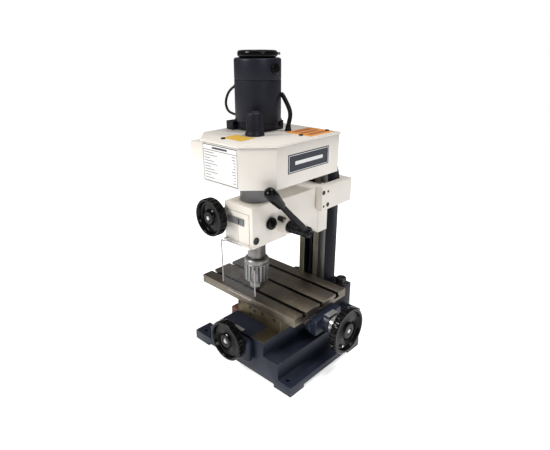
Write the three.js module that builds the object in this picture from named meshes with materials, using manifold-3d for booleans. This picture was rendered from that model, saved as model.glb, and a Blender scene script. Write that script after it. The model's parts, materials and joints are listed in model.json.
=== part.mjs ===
// A benchtop milling machine: a cast base, a table on cross slides, a column and a belt-driven head.
// Millimetres, +Z up, +X to the operator's right and +Y away from the operator.

import * as THREE from "three";
import { mergeVertices } from "three/addons/utils/BufferGeometryUtils.js";
import Module from "manifold-3d";

const wasm = await Module();
wasm.setup();

// ---------------------------------------------------------------- driving dimensions

// Clearance between two pieces that touch, and the slope of a 60 degree dovetail's flank.
const GAP = 0.3;
const FLANK = Math.tan(Math.PI / 6);
const SIDEWAYS_GAP = 0.35;

// Heights of the base casting, from the ground up.
const PAD_TOP = 6.2;
const FLANGE_TOP = 18.4;
const BODY_TOP = 49.5;
const WAY_TOP = 76.4;
const PLATFORM_TOP = 60;

// Plan of the base casting. The machine's centreline is X = 0 and the table's front edge is Y = 0.
const FOOT_REACH = 125;
const BASE_FRONT = -40.4;
const BASE_REAR = 205;
const BODY_LEFT = -77;
const BODY_RIGHT = 96;
const FLANGE_REAR = 160;
const WAY_LEFT = -48;
const WAY_RIGHT = 61.4;
const WAY_REAR = 144.7;
const WALL = 9;
const PAD_WIDTH = 38.5;
const PAD_DEPTH = 35.4;
const MOUNT_X = 108;
const MOUNT_FRONT_Y = -27.6;
const MOUNT_REAR_Y = 145;
const MOUNT_RADIUS = 4;

// Dovetail grooves: half widths at the mouth, and depth. The first holds the saddle, the second the table.
const Y_GROOVE_START = 2;
const Y_MOUTH = 12;
const Y_DEPTH = 17.3;
const X_MOUTH = 15;
const X_DEPTH = 22;

// Brackets that carry the ends of the front screw and the table's screw.
const Y_BRACKET_LEFT = -46;
const Y_BRACKET_RIGHT = 40;
const Y_BRACKET_FRONT = -56;
const Y_BRACKET_BOTTOM = 30;
const Y_BOSS_RADIUS = 15;
const X_BRACKET_RIGHT = 112;
const X_BRACKET_FRONT = 40;
const X_BRACKET_REAR = 112;
const X_BRACKET_BOTTOM = 75;
const X_BOSS_RADIUS = 19;
const X_BOSS_END = 124.7;

// Saddle and table.
const SADDLE_LEFT = -43;
const SADDLE_RIGHT = 64;
const SADDLE_FRONT = 1;
const SADDLE_REAR = 138;
const SADDLE_BOTTOM = WAY_TOP + GAP;
const SADDLE_TOP = 103.4;
const SADDLE_NECK = SADDLE_BOTTOM + 3.3;
const SKIRT_LEFT = -62;
const SKIRT_BOTTOM = 58;
const TONGUE_FRONT = 55;
const TONGUE_REAR = 135;
const TABLE_LEFT = -144.3;
const TABLE_RIGHT = 95.7;
const TABLE_DEPTH = 147.7;
const TABLE_BOTTOM = SADDLE_TOP + GAP;
const TABLE_TOP = 119.7;
const SLOT_PITCH = 47;
const SLOT_WIDTH = 8;
const SLOT_FOOT_WIDTH = 15;
const SLOT_NECK = 5.5;
const SLOT_DEPTH = 10;
const TABLE_CENTRE = 74;
const SCREW_CHANNEL = 15;
const SCREW_CHANNEL_TOP = 97.5;

// Lead screws: all three are 10 mm across with a lead of 2 mm.
const SCREW_RADIUS = 5;
const SCREW_BORE = SCREW_RADIUS + GAP;
const NUT_RADIUS = 8;
const NUT_FRONT = 121;
const Y_SCREW_Z = 67.4;
const X_SCREW_Z = 89.3;
const Z_SCREW_Y = 162.5;
const Y_WHEEL_FRONT = -72;
const Y_WHEEL_BACK = -58;
const Y_WHEEL_RADIUS = 36.75;
const X_WHEEL_END = 158;
const X_WHEEL_BACK = 144.5;
const X_WHEEL_RADIUS = 41.5;

// Column: a male dovetail on its front, standing on a foot that two bolts hold.
const COLUMN_HALF = 32;
const COLUMN_FRONT = 153.6;
const COLUMN_SHOULDER = 163.6;
const COLUMN_REAR = 200.9;
const COLUMN_UPPER_REAR = 189;
const TAPER_BOTTOM = 316;
const TAPER_TOP = 350;
const COLUMN_TOP = 380;
const COLUMN_CAP = 388;
const COLUMN_NOSE = 23.3;
const COLUMN_NECK = 17;
const RECESS_HALF = 11;
const RECESS_FLOOR = 172;
const COLUMN_FOOT_HALF = 70;
const COLUMN_FOOT_FRONT = 145;
const COLUMN_FOOT_TOP = 100;
const LEFT_FOOT_TOP = 80;
const BOLT_X = 58;
const BOLT_Y = 188;
const BOLT_RADIUS = 6;
const BOLT_HEAD_RADIUS = 12;
const BOLT_HEAD_HEIGHT = 13.7;
const BOLT_END = 46;

// Head casting and what it carries.
const SPINDLE_Y = 9;
const HEAD_HALF = 32.6;
const HEAD_FRONT = -31.4;
const HEAD_REAR = 50.3;
const HEAD_BOTTOM = 238.8;
const HEAD_TOP = 308.8;
const PLATE_FRONT = 137;
const PLATE_REAR = 163.2;
const PLATE_HALF = 34;
const YOKE_HALF = 48.5;
const YOKE_FRONT = 127;
const YOKE_REAR = 218;
const YOKE_BOTTOM = 267;
const YOKE_TOP = 312;
const QUILL_RADIUS = 16.15;
const QUILL_BORE = 16.6;
const QUILL_BOTTOM = 206;
const QUILL_TOP = 300;

// Rack and pinion that move the quill.
const PINION_Y = 39.4;
const PINION_Z = 264;
const PINION_TEETH = 20;
const MODULE = 1.5;
const PITCH_RADIUS = (PINION_TEETH * MODULE) / 2;
const TOOTH_PITCH = Math.PI * MODULE;
const BACKLASH = 0.4;
const BOSS_RADIUS = 14;
const BOSS_END = 49;
const SHAFT_RADIUS = 6;
const SHAFT_BORE = SHAFT_RADIUS + GAP;
const LEVER_X = 85;
const LEVER_ANGLE = Math.PI / 4;

// Quill lock knob, on a stud that is square to the quill.
const LOCK_Y = 9.7;
const LOCK_Z = 273.5;
const LOCK_STUD = 5;
const LOCK_RADIUS = 10.5;
const LOCK_END = 39;

// Guard, hung on a rod under the head's front edge.
const HINGE_Y = -35.5;
const HINGE_Z = 240;
const HINGE_REACH = 31;
const HINGE_RADIUS = 1.5;
const GUARD_HALF = 40;
const GUARD_BOTTOM = 145.5;
const GUARD_TOP = 237;
const GUARD_CORNER = 12;
const GUARD_SHEET = 1.2;
const GUARD_TONGUE = 23.5;

// Fine feed.
const FEED_X = -45.5;
const FEED_Z = 281;
const FEED_WHEEL_RADIUS = 32.5;

const FEED_SHAFT = 4;
const WORM_LEFT = -66;
const WORM_FRONT = 22;
const WORM_REAR = 57;
const WORM_BOTTOM = 248;
const WORM_TOP = 292;
const WORM_WALL = 4;
const SNOUT_RADIUS = 9;
const SNOUT_FRONT = -42;

// Belt cover, with the front corners cut off, and the belt drive inside it.
const COVER_HALF = 80.5;
const COVER_FRONT = -65.8;
const COVER_REAR = 125;
const COVER_BOTTOM = 348.2;
const COVER_TOP = 411;
const COVER_CORNER = 39.6;
const COVER_WALL = 3;
const LID_TOP = 414.6;
const LID_OVERHANG = 1.9;
const MOTOR_X = -37;
const MOTOR_Y = 54;
const MOTOR_RADIUS = 38.5;
const MOTOR_SEAM = 495.7;
const MOTOR_TOP = 528.5;
const MACHINE_TOP = 540;
const BRUSH_Z = 513;
const BRUSH_RADIUS = 6;
const BIG_PULLEY = 30;
const SMALL_PULLEY = 12;
const BELT_BOTTOM = 355;
const BELT_TOP = 365;
const BELT_THICKNESS = 3;

// Chuck.
const CHUCK_TOP = 203;
const CHUCK_BAND = 194.3;
const CHUCK_BOTTOM = 160;
const CHUCK_NOSE = 144;
const CHUCK_RADIUS = 21.7;
const JAW_TIP = 138;
const JAW_RADIUS = 3;
const JAW_ANGLE = Math.PI / 10;
const JAW_TIP_OFFSET = 2.6;
const JAW_LENGTH = 30;

// Control box on the left of the belt cover.
const BOX_LEFT = -124;
const BOX_RIGHT = -80.8;
const BOX_FRONT = -25;
const BOX_REAR = 50;
const BOX_BOTTOM = 367;
const BOX_TOP = 394;
const CONTROL_Z = (BOX_BOTTOM + BOX_TOP) / 2;
const ROCKER_Y = -10;
const STOP_Y = 12;
const SPEED_Y = 36;

// ---------------------------------------------------------------- shaping tools

// Turns a closed three.js geometry, moved by a matrix, into a solid that can be cut and joined.
function solidOf(geometry, matrix = new THREE.Matrix4()) {
  const loose = geometry.index ? geometry.toNonIndexed() : geometry;
  loose.applyMatrix4(matrix);
  loose.deleteAttribute("normal");
  loose.deleteAttribute("uv");
  const merged = mergeVertices(loose, 1e-4);
  const corners = merged.index.array;
  const vertices = merged.attributes.position.array;
  const faces = [];
  for (let i = 0; i < corners.length; i += 3) {
    const [a, b, c] = corners.slice(i, i + 3);
    if (a !== b && b !== c && c !== a) faces.push([a, b, c]);
  }
  const solid = manifoldOf(vertices, faces);
  return solid.volume() > 0 ? solid : manifoldOf(vertices, faces.map((face) => face.reverse()));
}

function manifoldOf(vertices, faces) {
  const mesh = new wasm.Mesh({
    numProp: 3,
    vertProperties: vertices,
    triVerts: new Uint32Array(faces.flat()),
  });
  return new wasm.Manifold(mesh);
}

function geometryOf(solid) {
  const mesh = solid.getMesh();
  const geometry = new THREE.BufferGeometry();
  geometry.setAttribute("position", new THREE.BufferAttribute(mesh.vertProperties, 3));
  geometry.setIndex(new THREE.BufferAttribute(mesh.triVerts, 1));
  const flat = geometry.toNonIndexed();
  flat.computeVertexNormals();
  return flat;
}

// Moves a shape that was drawn across an axis to that axis. The centre is (y, z), (x, z) or (x, y).
const ACROSS = {
  x: [new THREE.Vector3(0, 1, 0), new THREE.Vector3(0, 0, 1), new THREE.Vector3(1, 0, 0)],
  y: [new THREE.Vector3(1, 0, 0), new THREE.Vector3(0, 0, 1), new THREE.Vector3(0, 1, 0)],
  z: [new THREE.Vector3(1, 0, 0), new THREE.Vector3(0, 1, 0), new THREE.Vector3(0, 0, 1)],
};

function alongAxis(axis, centre = [0, 0]) {
  const [right, up, along] = ACROSS[axis];
  const corner = right.clone().multiplyScalar(centre[0]).addScaledVector(up, centre[1]);
  return new THREE.Matrix4().makeBasis(right, up, along).setPosition(corner);
}

function block(x0, x1, y0, y1, z0, z1) {
  const geometry = new THREE.BoxGeometry(x1 - x0, y1 - y0, z1 - z0);
  geometry.translate((x0 + x1) / 2, (y0 + y1) / 2, (z0 + z1) / 2);
  return solidOf(geometry);
}

function shapeOf(outline) {
  return new THREE.Shape(outline.map(([u, v]) => new THREE.Vector2(u, v)));
}

// A flat outline pushed along an axis. The outline is a list of corners or a shape with arcs.
function prism(outline, axis, from, to) {
  const shape = Array.isArray(outline) ? shapeOf(outline) : outline;
  const geometry = new THREE.ExtrudeGeometry(shape, {
    depth: to - from,
    bevelEnabled: false,
    curveSegments: 8,
  });
  geometry.translate(0, 0, from);
  return solidOf(geometry, alongAxis(axis));
}

// A round bar between two stations on an axis.
function bar(axis, radius, from, to, centre, sides = 20) {
  const geometry = new THREE.CylinderGeometry(radius, radius, to - from, sides);
  geometry.rotateX(Math.PI / 2);
  geometry.translate(0, 0, (from + to) / 2);
  return solidOf(geometry, alongAxis(axis, centre));
}

// A turned piece. The profile's points are [radius, station along the axis].
function turned(profile, axis, centre, sides = 24) {
  const points = profile.map(([radius, station]) => new THREE.Vector2(radius, station));
  if (profile[0][0] > 0) points.push(points[0].clone());
  const geometry = new THREE.LatheGeometry(points, sides);
  geometry.rotateX(Math.PI / 2);
  return solidOf(geometry, alongAxis(axis, centre));
}

function ring(axis, outer, inner, from, to, centre, sides = 24) {
  const profile = [
    [inner, from],
    [outer, from],
    [outer, to],
    [inner, to],
  ];
  return turned(profile, axis, centre, sides);
}

function joined(...solids) {
  return solids.reduce((whole, solid) => whole.add(solid));
}

function cut(solid, ...tools) {
  return tools.reduce((whole, tool) => whole.subtract(tool), solid);
}

// A dovetail's outline across its length: narrow at the mouth, wider towards the floor.
function dovetail(centre, mouthHalf, mouth, floor) {
  const floorHalf = mouthHalf + Math.abs(mouth - floor) * FLANK;
  return [
    [centre - mouthHalf, mouth],
    [centre + mouthHalf, mouth],
    [centre + floorHalf, floor],
    [centre - floorHalf, floor],
  ];
}

const FINISHES = {
  cream: { color: 0xe7e1d3, roughness: 0.42, metalness: 0 },
  navy: { color: 0x2c3745, roughness: 0.45, metalness: 0 },
  black: { color: 0x14161a, roughness: 0.4, metalness: 0 },
  plastic: { color: 0x0f1012, roughness: 0.35, metalness: 0 },
  iron: { color: 0x5d5546, roughness: 0.5, metalness: 0.8 },
  ground: { color: 0x7d766c, roughness: 0.38, metalness: 0.9 },
  steel: { color: 0x8f9194, roughness: 0.3, metalness: 1 },
  grey: { color: 0x6b6f73, roughness: 0.5, metalness: 0.2 },
  brass: { color: 0xa8863c, roughness: 0.35, metalness: 1 },
  rubber: { color: 0x101010, roughness: 0.7, metalness: 0 },
  clear: { color: 0xdfe8ea, roughness: 0.08, metalness: 0 },
  red: { color: 0xa81c16, roughness: 0.35, metalness: 0 },
  green: { color: 0x1f5a36, roughness: 0.5, metalness: 0 },
};

function add(group, name, solid, finish) {
  const mesh = new THREE.Mesh(geometryOf(solid), new THREE.MeshStandardMaterial(FINISHES[finish]));
  mesh.name = name;
  group.add(mesh);
}

// ---------------------------------------------------------------- base and column

function baseCasting() {
  const solids = [
    block(BODY_LEFT, BODY_RIGHT, BASE_FRONT, BASE_REAR, PAD_TOP, BODY_TOP),
    block(BODY_RIGHT - WALL, FOOT_REACH, BASE_FRONT, FLANGE_REAR, PAD_TOP, FLANGE_TOP),
    block(WAY_LEFT, WAY_RIGHT, BASE_FRONT, WAY_REAR, BODY_TOP - 1, WAY_TOP),
    block(-COLUMN_FOOT_HALF, COLUMN_FOOT_HALF, WAY_REAR, BASE_REAR, BODY_TOP - 1, PLATFORM_TOP),
  ];
  const left = BODY_LEFT + WALL;
  const right = BODY_RIGHT - WALL;
  const groove = dovetail(0, Y_MOUTH, WAY_TOP, WAY_TOP - Y_DEPTH);
  const holes = [
    prism(groove, "y", Y_GROOVE_START, WAY_REAR + 1),
    bar("y", SCREW_RADIUS + 1, BASE_FRONT - 1, Y_GROOVE_START + 1, [0, Y_SCREW_Z], 16),
    block(left, right, BASE_FRONT + WALL, BASE_REAR - WALL, 0, BODY_TOP - WALL),
  ];
  for (const front of [BASE_FRONT, FLANGE_REAR - PAD_DEPTH]) {
    const rear = front + PAD_DEPTH;
    solids.push(block(-FOOT_REACH, left, front, rear, PAD_TOP, FLANGE_TOP));
    solids.push(block(-FOOT_REACH, PAD_WIDTH - FOOT_REACH, front, rear, 0, PAD_TOP + 1));
    solids.push(block(FOOT_REACH - PAD_WIDTH, FOOT_REACH, front, rear, 0, PAD_TOP + 1));
  }
  for (const x of [-MOUNT_X, MOUNT_X]) {
    for (const y of [MOUNT_FRONT_Y, MOUNT_REAR_Y]) {
      holes.push(bar("z", MOUNT_RADIUS, -1, FLANGE_TOP + 1, [x, y], 20));
    }
  }
  for (const x of [-BOLT_X, BOLT_X]) {
    holes.push(bar("z", BOLT_RADIUS + GAP, BOLT_END - 1, PLATFORM_TOP + 1, [x, BOLT_Y], 20));
  }
  return cut(joined(...solids), ...holes);
}

function column() {
  const nose = [
    [-COLUMN_NOSE, COLUMN_FRONT],
    [COLUMN_NOSE, COLUMN_FRONT],
    [COLUMN_NECK, COLUMN_SHOULDER],
    [COLUMN_NECK, COLUMN_SHOULDER + 1],
    [-COLUMN_NECK, COLUMN_SHOULDER + 1],
    [-COLUMN_NECK, COLUMN_SHOULDER],
  ];
  const rise = COLUMN_FOOT_TOP - 1;
  const side = [
    [COLUMN_SHOULDER, rise],
    [COLUMN_REAR, rise],
    [COLUMN_REAR, TAPER_BOTTOM],
    [COLUMN_UPPER_REAR, TAPER_TOP],
    [COLUMN_UPPER_REAR, COLUMN_CAP],
    [COLUMN_SHOULDER, COLUMN_CAP],
  ];
  const ground = PLATFORM_TOP + GAP;
  const solid = joined(
    prism(side, "x", -COLUMN_HALF, COLUMN_HALF),
    prism(nose, "z", rise, COLUMN_CAP),
    block(-COLUMN_HALF, COLUMN_FOOT_HALF, COLUMN_FOOT_FRONT, BASE_REAR, ground, COLUMN_FOOT_TOP),
    block(-COLUMN_FOOT_HALF, 0, COLUMN_FOOT_FRONT, BASE_REAR, ground, LEFT_FOOT_TOP),
  );
  const bolt = BOLT_RADIUS + GAP;
  return cut(
    solid,
    block(-RECESS_HALF, RECESS_HALF, COLUMN_FRONT - 1, RECESS_FLOOR, COLUMN_FOOT_TOP, COLUMN_TOP),
    bar("z", SCREW_BORE, COLUMN_TOP - 1, COLUMN_CAP + 1, [0, Z_SCREW_Y], 16),
    bar("z", bolt, PLATFORM_TOP - 1, LEFT_FOOT_TOP + 1, [-BOLT_X, BOLT_Y], 20),
    bar("z", bolt, PLATFORM_TOP - 1, COLUMN_FOOT_TOP + 1, [BOLT_X, BOLT_Y], 20),
  );
}

function columnBolt(x, footTop) {
  const seat = footTop + GAP;
  return joined(
    bar("z", BOLT_HEAD_RADIUS, seat, seat + BOLT_HEAD_HEIGHT, [x, BOLT_Y], 6),
    bar("z", BOLT_RADIUS, BOLT_END, seat + 1, [x, BOLT_Y], 20),
  );
}

function yBracket() {
  const centre = [0, Y_SCREW_Z];
  const rear = BASE_FRONT - GAP;
  const top = WAY_TOP - 0.5;
  const solid = joined(
    block(Y_BRACKET_LEFT, Y_BRACKET_RIGHT, Y_BRACKET_FRONT, rear, Y_BRACKET_BOTTOM, top),
    bar("y", Y_BOSS_RADIUS, Y_BRACKET_FRONT - 4, Y_BRACKET_FRONT + 1, centre),
  );
  return cut(solid, bar("y", SCREW_BORE, Y_BRACKET_FRONT - 5, BASE_FRONT, centre, 16));
}

// ---------------------------------------------------------------- saddle, table and their screws

function saddle() {
  const mouth = Y_MOUTH - SIDEWAYS_GAP;
  const tongue = dovetail(0, mouth, WAY_TOP, WAY_TOP - Y_DEPTH + GAP);
  const groove = dovetail(TABLE_CENTRE, X_MOUTH, SADDLE_TOP, SADDLE_TOP - X_DEPTH);
  const skirtEnd = WAY_LEFT - GAP;
  const lap = SADDLE_BOTTOM + 1;
  const solid = joined(
    block(SADDLE_LEFT, SADDLE_RIGHT, SADDLE_FRONT, SADDLE_REAR, SADDLE_NECK, SADDLE_TOP),
    block(SKIRT_LEFT, WAY_RIGHT, SADDLE_FRONT, SADDLE_REAR, SADDLE_BOTTOM, SADDLE_NECK + GAP),
    block(SKIRT_LEFT, skirtEnd, SADDLE_FRONT, SADDLE_REAR, SKIRT_BOTTOM, lap),
    prism(tongue, "y", TONGUE_FRONT, TONGUE_REAR),
    block(-mouth, mouth, TONGUE_FRONT, TONGUE_REAR, WAY_TOP - 0.2, lap),
  );
  const end = TONGUE_REAR + 1;
  return cut(
    solid,
    bar("y", SCREW_RADIUS + 1, TONGUE_FRONT - 1, end, [0, Y_SCREW_Z], 16),
    bar("y", NUT_RADIUS + GAP, NUT_FRONT - GAP, end, [0, Y_SCREW_Z], 16),
    prism(groove, "x", SADDLE_LEFT - 1, SADDLE_RIGHT + 1),
  );
}

function xNut() {
  const floor = SADDLE_TOP - X_DEPTH + GAP;
  return cut(block(0, 22, TABLE_CENTRE - 6, TABLE_CENTRE + 6, floor, 96), xScrewHole(-1, 23));
}

function xScrewHole(from, to) {
  return bar("x", SCREW_BORE, from, to, [TABLE_CENTRE, X_SCREW_Z], 24);
}

function table() {
  const tongue = dovetail(TABLE_CENTRE, X_MOUTH - SIDEWAYS_GAP, SADDLE_TOP, SADDLE_TOP - X_DEPTH + GAP);
  const mouth = X_MOUTH - SIDEWAYS_GAP;
  const [near, far] = [TABLE_CENTRE - mouth, TABLE_CENTRE + mouth];
  const solid = joined(
    block(TABLE_LEFT, TABLE_RIGHT, 0, TABLE_DEPTH, TABLE_BOTTOM, TABLE_TOP),
    prism(tongue, "x", TABLE_LEFT, TABLE_RIGHT),
    block(TABLE_LEFT, TABLE_RIGHT, near, far, SADDLE_TOP - 0.2, TABLE_BOTTOM + 1),
  );
  const holes = [slot(TABLE_CENTRE, SCREW_CHANNEL, SADDLE_TOP - X_DEPTH - 1, SCREW_CHANNEL_TOP)];
  for (const y of [TABLE_CENTRE - SLOT_PITCH, TABLE_CENTRE, TABLE_CENTRE + SLOT_PITCH]) {
    const neck = TABLE_TOP - SLOT_NECK;
    holes.push(slot(y, SLOT_WIDTH, neck - 1, TABLE_TOP + 1));
    holes.push(slot(y, SLOT_FOOT_WIDTH, TABLE_TOP - SLOT_DEPTH, neck));
  }
  return cut(solid, ...holes);
}

function slot(y, width, bottom, top) {
  return block(TABLE_LEFT - 1, TABLE_RIGHT + 1, y - width / 2, y + width / 2, bottom, top);
}

function xBracket() {
  const left = TABLE_RIGHT + GAP;
  const [right, front] = [X_BRACKET_RIGHT, X_BRACKET_FRONT];
  const solid = joined(
    block(left, right, front, X_BRACKET_REAR, X_BRACKET_BOTTOM, SADDLE_TOP),
    block(left, right - 8, front - 9, front + 1, 86, 100),
    bar("x", X_BOSS_RADIUS, right - 1, X_BOSS_END, [TABLE_CENTRE, X_SCREW_Z]),
  );
  return cut(solid, xScrewHole(left - 1, X_BOSS_END + 1));
}

// A dished handwheel, from the back of its hub to the front of its rim.
function handwheel(axis, centre, radius, back, front, bore) {
  const step = (front - back) / 14;
  const at = (parts) => back + parts * step;
  const profile = [
    [bore, at(6)],
    [radius * 0.42, at(6)],
    [radius * 0.8, at(4)],
    [radius * 0.86, at(0)],
    [radius * 0.97, at(0)],
    [radius, at(2.5)],
    [radius, at(11.5)],
    [radius * 0.96, at(14)],
    [radius * 0.88, at(14)],
    [radius * 0.8, at(8.5)],
    [radius * 0.42, at(9.5)],
    [radius * 0.3, at(13)],
    [bore, at(13)],
  ];
  return turned(profile, axis, centre, 20);
}

// ---------------------------------------------------------------- head

function headCasting() {
  const arm = [
    [HEAD_REAR - 1, 256],
    [88, 256],
    [PLATE_FRONT + 1, 220],
    [PLATE_FRONT + 1, 308],
    [HEAD_REAR - 1, 308],
  ];
  const solids = [
    block(-HEAD_HALF, HEAD_HALF, HEAD_FRONT, HEAD_REAR, HEAD_BOTTOM, HEAD_TOP),
    prism(arm, "x", -HEAD_HALF, HEAD_HALF),
    block(-PLATE_HALF, PLATE_HALF, PLATE_FRONT, PLATE_REAR, 219, 308),
    block(-11, 11, HEAD_REAR - 1, 62, 245, 257),
    bar("x", BOSS_RADIUS, HEAD_HALF - 1, BOSS_END, [PINION_Y, PINION_Z]),
    block(GUARD_TONGUE + 0.8, HINGE_REACH, -37.8, HEAD_FRONT + 1, 239, 244),
    block(-HINGE_REACH, -GUARD_TONGUE - 0.8, -37.8, HEAD_FRONT + 1, 239, 244),
  ];
  const slope = (COLUMN_NOSE - COLUMN_NECK) / (COLUMN_SHOULDER - COLUMN_FRONT);
  const halfAt = (y) => COLUMN_NOSE - slope * (y - COLUMN_FRONT) + SIDEWAYS_GAP;
  const floor = COLUMN_FRONT - 0.4;
  const groove = [
    [-halfAt(floor), floor],
    [halfAt(floor), floor],
    [halfAt(PLATE_REAR + 1), PLATE_REAR + 1],
    [-halfAt(PLATE_REAR + 1), PLATE_REAR + 1],
  ];
  return cut(
    joined(...solids),
    prism(groove, "z", 218, 309),
    bar("z", QUILL_BORE, HEAD_BOTTOM - 1, HEAD_TOP + 1, [0, SPINDLE_Y], 28),
    bar("x", PITCH_RADIUS + MODULE + 0.8, -8, 8, [PINION_Y, PINION_Z]),
    bar("x", SHAFT_BORE, -HEAD_HALF - 1, BOSS_END + 1, [PINION_Y, PINION_Z], 16),
    bar("x", LOCK_STUD + GAP, 10, HEAD_HALF + 1, [LOCK_Y, LOCK_Z], 16),
    bar("x", HINGE_RADIUS + GAP, -HINGE_REACH - 1, HINGE_REACH + 1, [HINGE_Y, HINGE_Z], 12),
  );
}

function columnYoke() {
  const outer = block(-YOKE_HALF, YOKE_HALF, YOKE_FRONT, YOKE_REAR, YOKE_BOTTOM, YOKE_TOP);
  const inner = PLATE_HALF + 0.4;
  const rear = COLUMN_REAR + 0.4;
  return cut(outer, block(-inner, inner, YOKE_FRONT - 1, rear, YOKE_BOTTOM - 1, YOKE_TOP + 1));
}

function zNut() {
  const half = RECESS_HALF - 0.8;
  const solid = block(-half, half, COLUMN_FRONT - 0.1, RECESS_FLOOR - 1.5, 285, 303);
  return cut(solid, bar("z", SCREW_BORE, 284, 304, [0, Z_SCREW_Y], 16));
}

function quill() {
  const centre = [0, SPINDLE_Y];
  const profile = [
    [11.3, QUILL_BOTTOM],
    [QUILL_RADIUS, QUILL_BOTTOM],
    [QUILL_RADIUS, QUILL_TOP],
    [7.5, QUILL_TOP],
    [7.5, QUILL_BOTTOM + 8.4],
    [11.3, QUILL_BOTTOM + 8.4],
  ];
  const pitchLine = PINION_Y - PITCH_RADIUS;
  const rootLine = pitchLine - MODULE - 0.4;
  const gap = TOOTH_PITCH / 2 + BACKLASH / 2;
  const gaps = [];
  for (let n = -3; n <= 7; n++) {
    const z = PINION_Z + n * TOOTH_PITCH;
    const outline = [
      [rootLine, z - gap * 0.28],
      [rootLine, z + gap * 0.28],
      [pitchLine, z + gap / 2],
      [pitchLine + 3, z + gap],
      [pitchLine + 3, z - gap],
      [pitchLine, z - gap / 2],
    ];
    gaps.push(prism(outline, "x", -12, 12));
  }
  return cut(turned(profile, "z", centre, 28), ...gaps);
}

// The pinion's outline: straight-sided teeth on the pitch circle, one of them pointing at the rack.
function pinionOutline() {
  const outline = [];
  const tip = PITCH_RADIUS + MODULE * 0.8;
  const root = PITCH_RADIUS - MODULE * 1.15;
  const half = (TOOTH_PITCH / 2 - BACKLASH) / 2 / PITCH_RADIUS;
  const corners = [
    [root, -half * 1.55],
    [PITCH_RADIUS, -half],
    [tip, -half * 0.42],
    [tip, half * 0.42],
    [PITCH_RADIUS, half],
    [root, half * 1.55],
  ];
  for (let n = 0; n < PINION_TEETH; n++) {
    const middle = Math.PI + (n * 2 * Math.PI) / PINION_TEETH;
    for (const [radius, turn] of corners) {
      const y = PINION_Y + radius * Math.cos(middle + turn);
      const z = PINION_Z + radius * Math.sin(middle + turn);
      outline.push([y, z]);
    }
  }
  return outline;
}

function pinionShaft() {
  const centre = [PINION_Y, PINION_Z];
  return joined(
    bar("x", SHAFT_RADIUS, -60, 60, centre, 16),
    prism(pinionOutline(), "x", -7, 7),
    bar("x", 10.7, FEED_X - 4, FEED_X + 4, centre),
  );
}

function spindle() {
  const profile = [
    [0, 182],
    [5.5, 182],
    [6.3, 203.4],
    [13, 203.4],
    [13, 205.7],
    [7, 205.7],
    [7, 330],
    [5.5, 330],
    [5.5, 440],
    [0, 440],
  ];
  const key = block(4, 6.6, SPINDLE_Y - 1.2, SPINDLE_Y + 1.2, 345, 400);
  return joined(turned(profile, "z", [0, SPINDLE_Y]), key);
}

// ---------------------------------------------------------------- chuck

// A jaw's centreline rises and leans out from the chuck's axis.
function jawMatrix(turn) {
  const matrix = new THREE.Matrix4().makeTranslation(0, SPINDLE_Y, JAW_TIP);
  matrix.multiply(new THREE.Matrix4().makeRotationZ(turn));
  matrix.multiply(new THREE.Matrix4().makeTranslation(JAW_TIP_OFFSET, 0, 0));
  matrix.multiply(new THREE.Matrix4().makeRotationY(JAW_ANGLE));
  return matrix;
}

function jawBar(radius, from, to, turn) {
  const geometry = new THREE.CylinderGeometry(radius, radius, to - from, 12);
  geometry.rotateX(Math.PI / 2);
  geometry.translate(0, 0, (from + to) / 2);
  return solidOf(geometry, jawMatrix(turn));
}

function jaw(turn) {
  const reach = 20;
  const spread = (reach - GAP) * Math.sqrt(3);
  const wedge = [
    [GAP, 0],
    [reach, spread],
    [reach, -spread],
  ];
  const sector = new THREE.ExtrudeGeometry(shapeOf(wedge), { depth: 60, bevelEnabled: false });
  const place = new THREE.Matrix4().makeTranslation(0, SPINDLE_Y, JAW_TIP);
  place.multiply(new THREE.Matrix4().makeRotationZ(turn));
  return jawBar(JAW_RADIUS, -5, JAW_LENGTH, turn).intersect(solidOf(sector, place));
}

function chuckBody() {
  const centre = [0, SPINDLE_Y];
  const profile = [
    [0, 168],
    [5.2, 168],
    [5.2, CHUCK_NOSE],
    [10, CHUCK_NOSE],
    [13, CHUCK_NOSE + 5],
    [13, CHUCK_BOTTOM + 1],
    [15, CHUCK_BOTTOM + 1],
    [15, CHUCK_BAND],
    [CHUCK_RADIUS - 0.3, CHUCK_BAND],
    [CHUCK_RADIUS - 0.3, CHUCK_TOP - 2],
    [CHUCK_RADIUS - 2, CHUCK_TOP],
    [6.6, CHUCK_TOP],
    [5.8, 181],
    [0, 181],
  ];
  const solid = turned(profile, "z", centre);
  const bores = jawTurns().map((turn) => jawBar(JAW_RADIUS + GAP, -8, JAW_LENGTH + 12, turn));
  return cut(solid, ...bores);
}

function jawTurns() {
  return [0, 1, 2].map((n) => (n * 2 * Math.PI) / 3);
}

function chuckSleeve() {
  const profile = [
    [15.4, CHUCK_BOTTOM],
    [CHUCK_RADIUS - 2.5, CHUCK_BOTTOM],
    [CHUCK_RADIUS, CHUCK_BOTTOM + 2.5],
    [CHUCK_RADIUS, CHUCK_BAND - GAP],
    [15.4, CHUCK_BAND - GAP],
    [15.4, 188],
    [18.4, 186],
    [18.4, 165],
    [15.4, 163],
  ];
  return turned(profile, "z", [0, SPINDLE_Y]);
}

// ---------------------------------------------------------------- lever and fine feed

const LEVER_ROOT = 0.5;
const KNOB_START = 84.4;
const KNOB_END = 128.3;
const ROD_RADIUS = 4.5;

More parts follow.
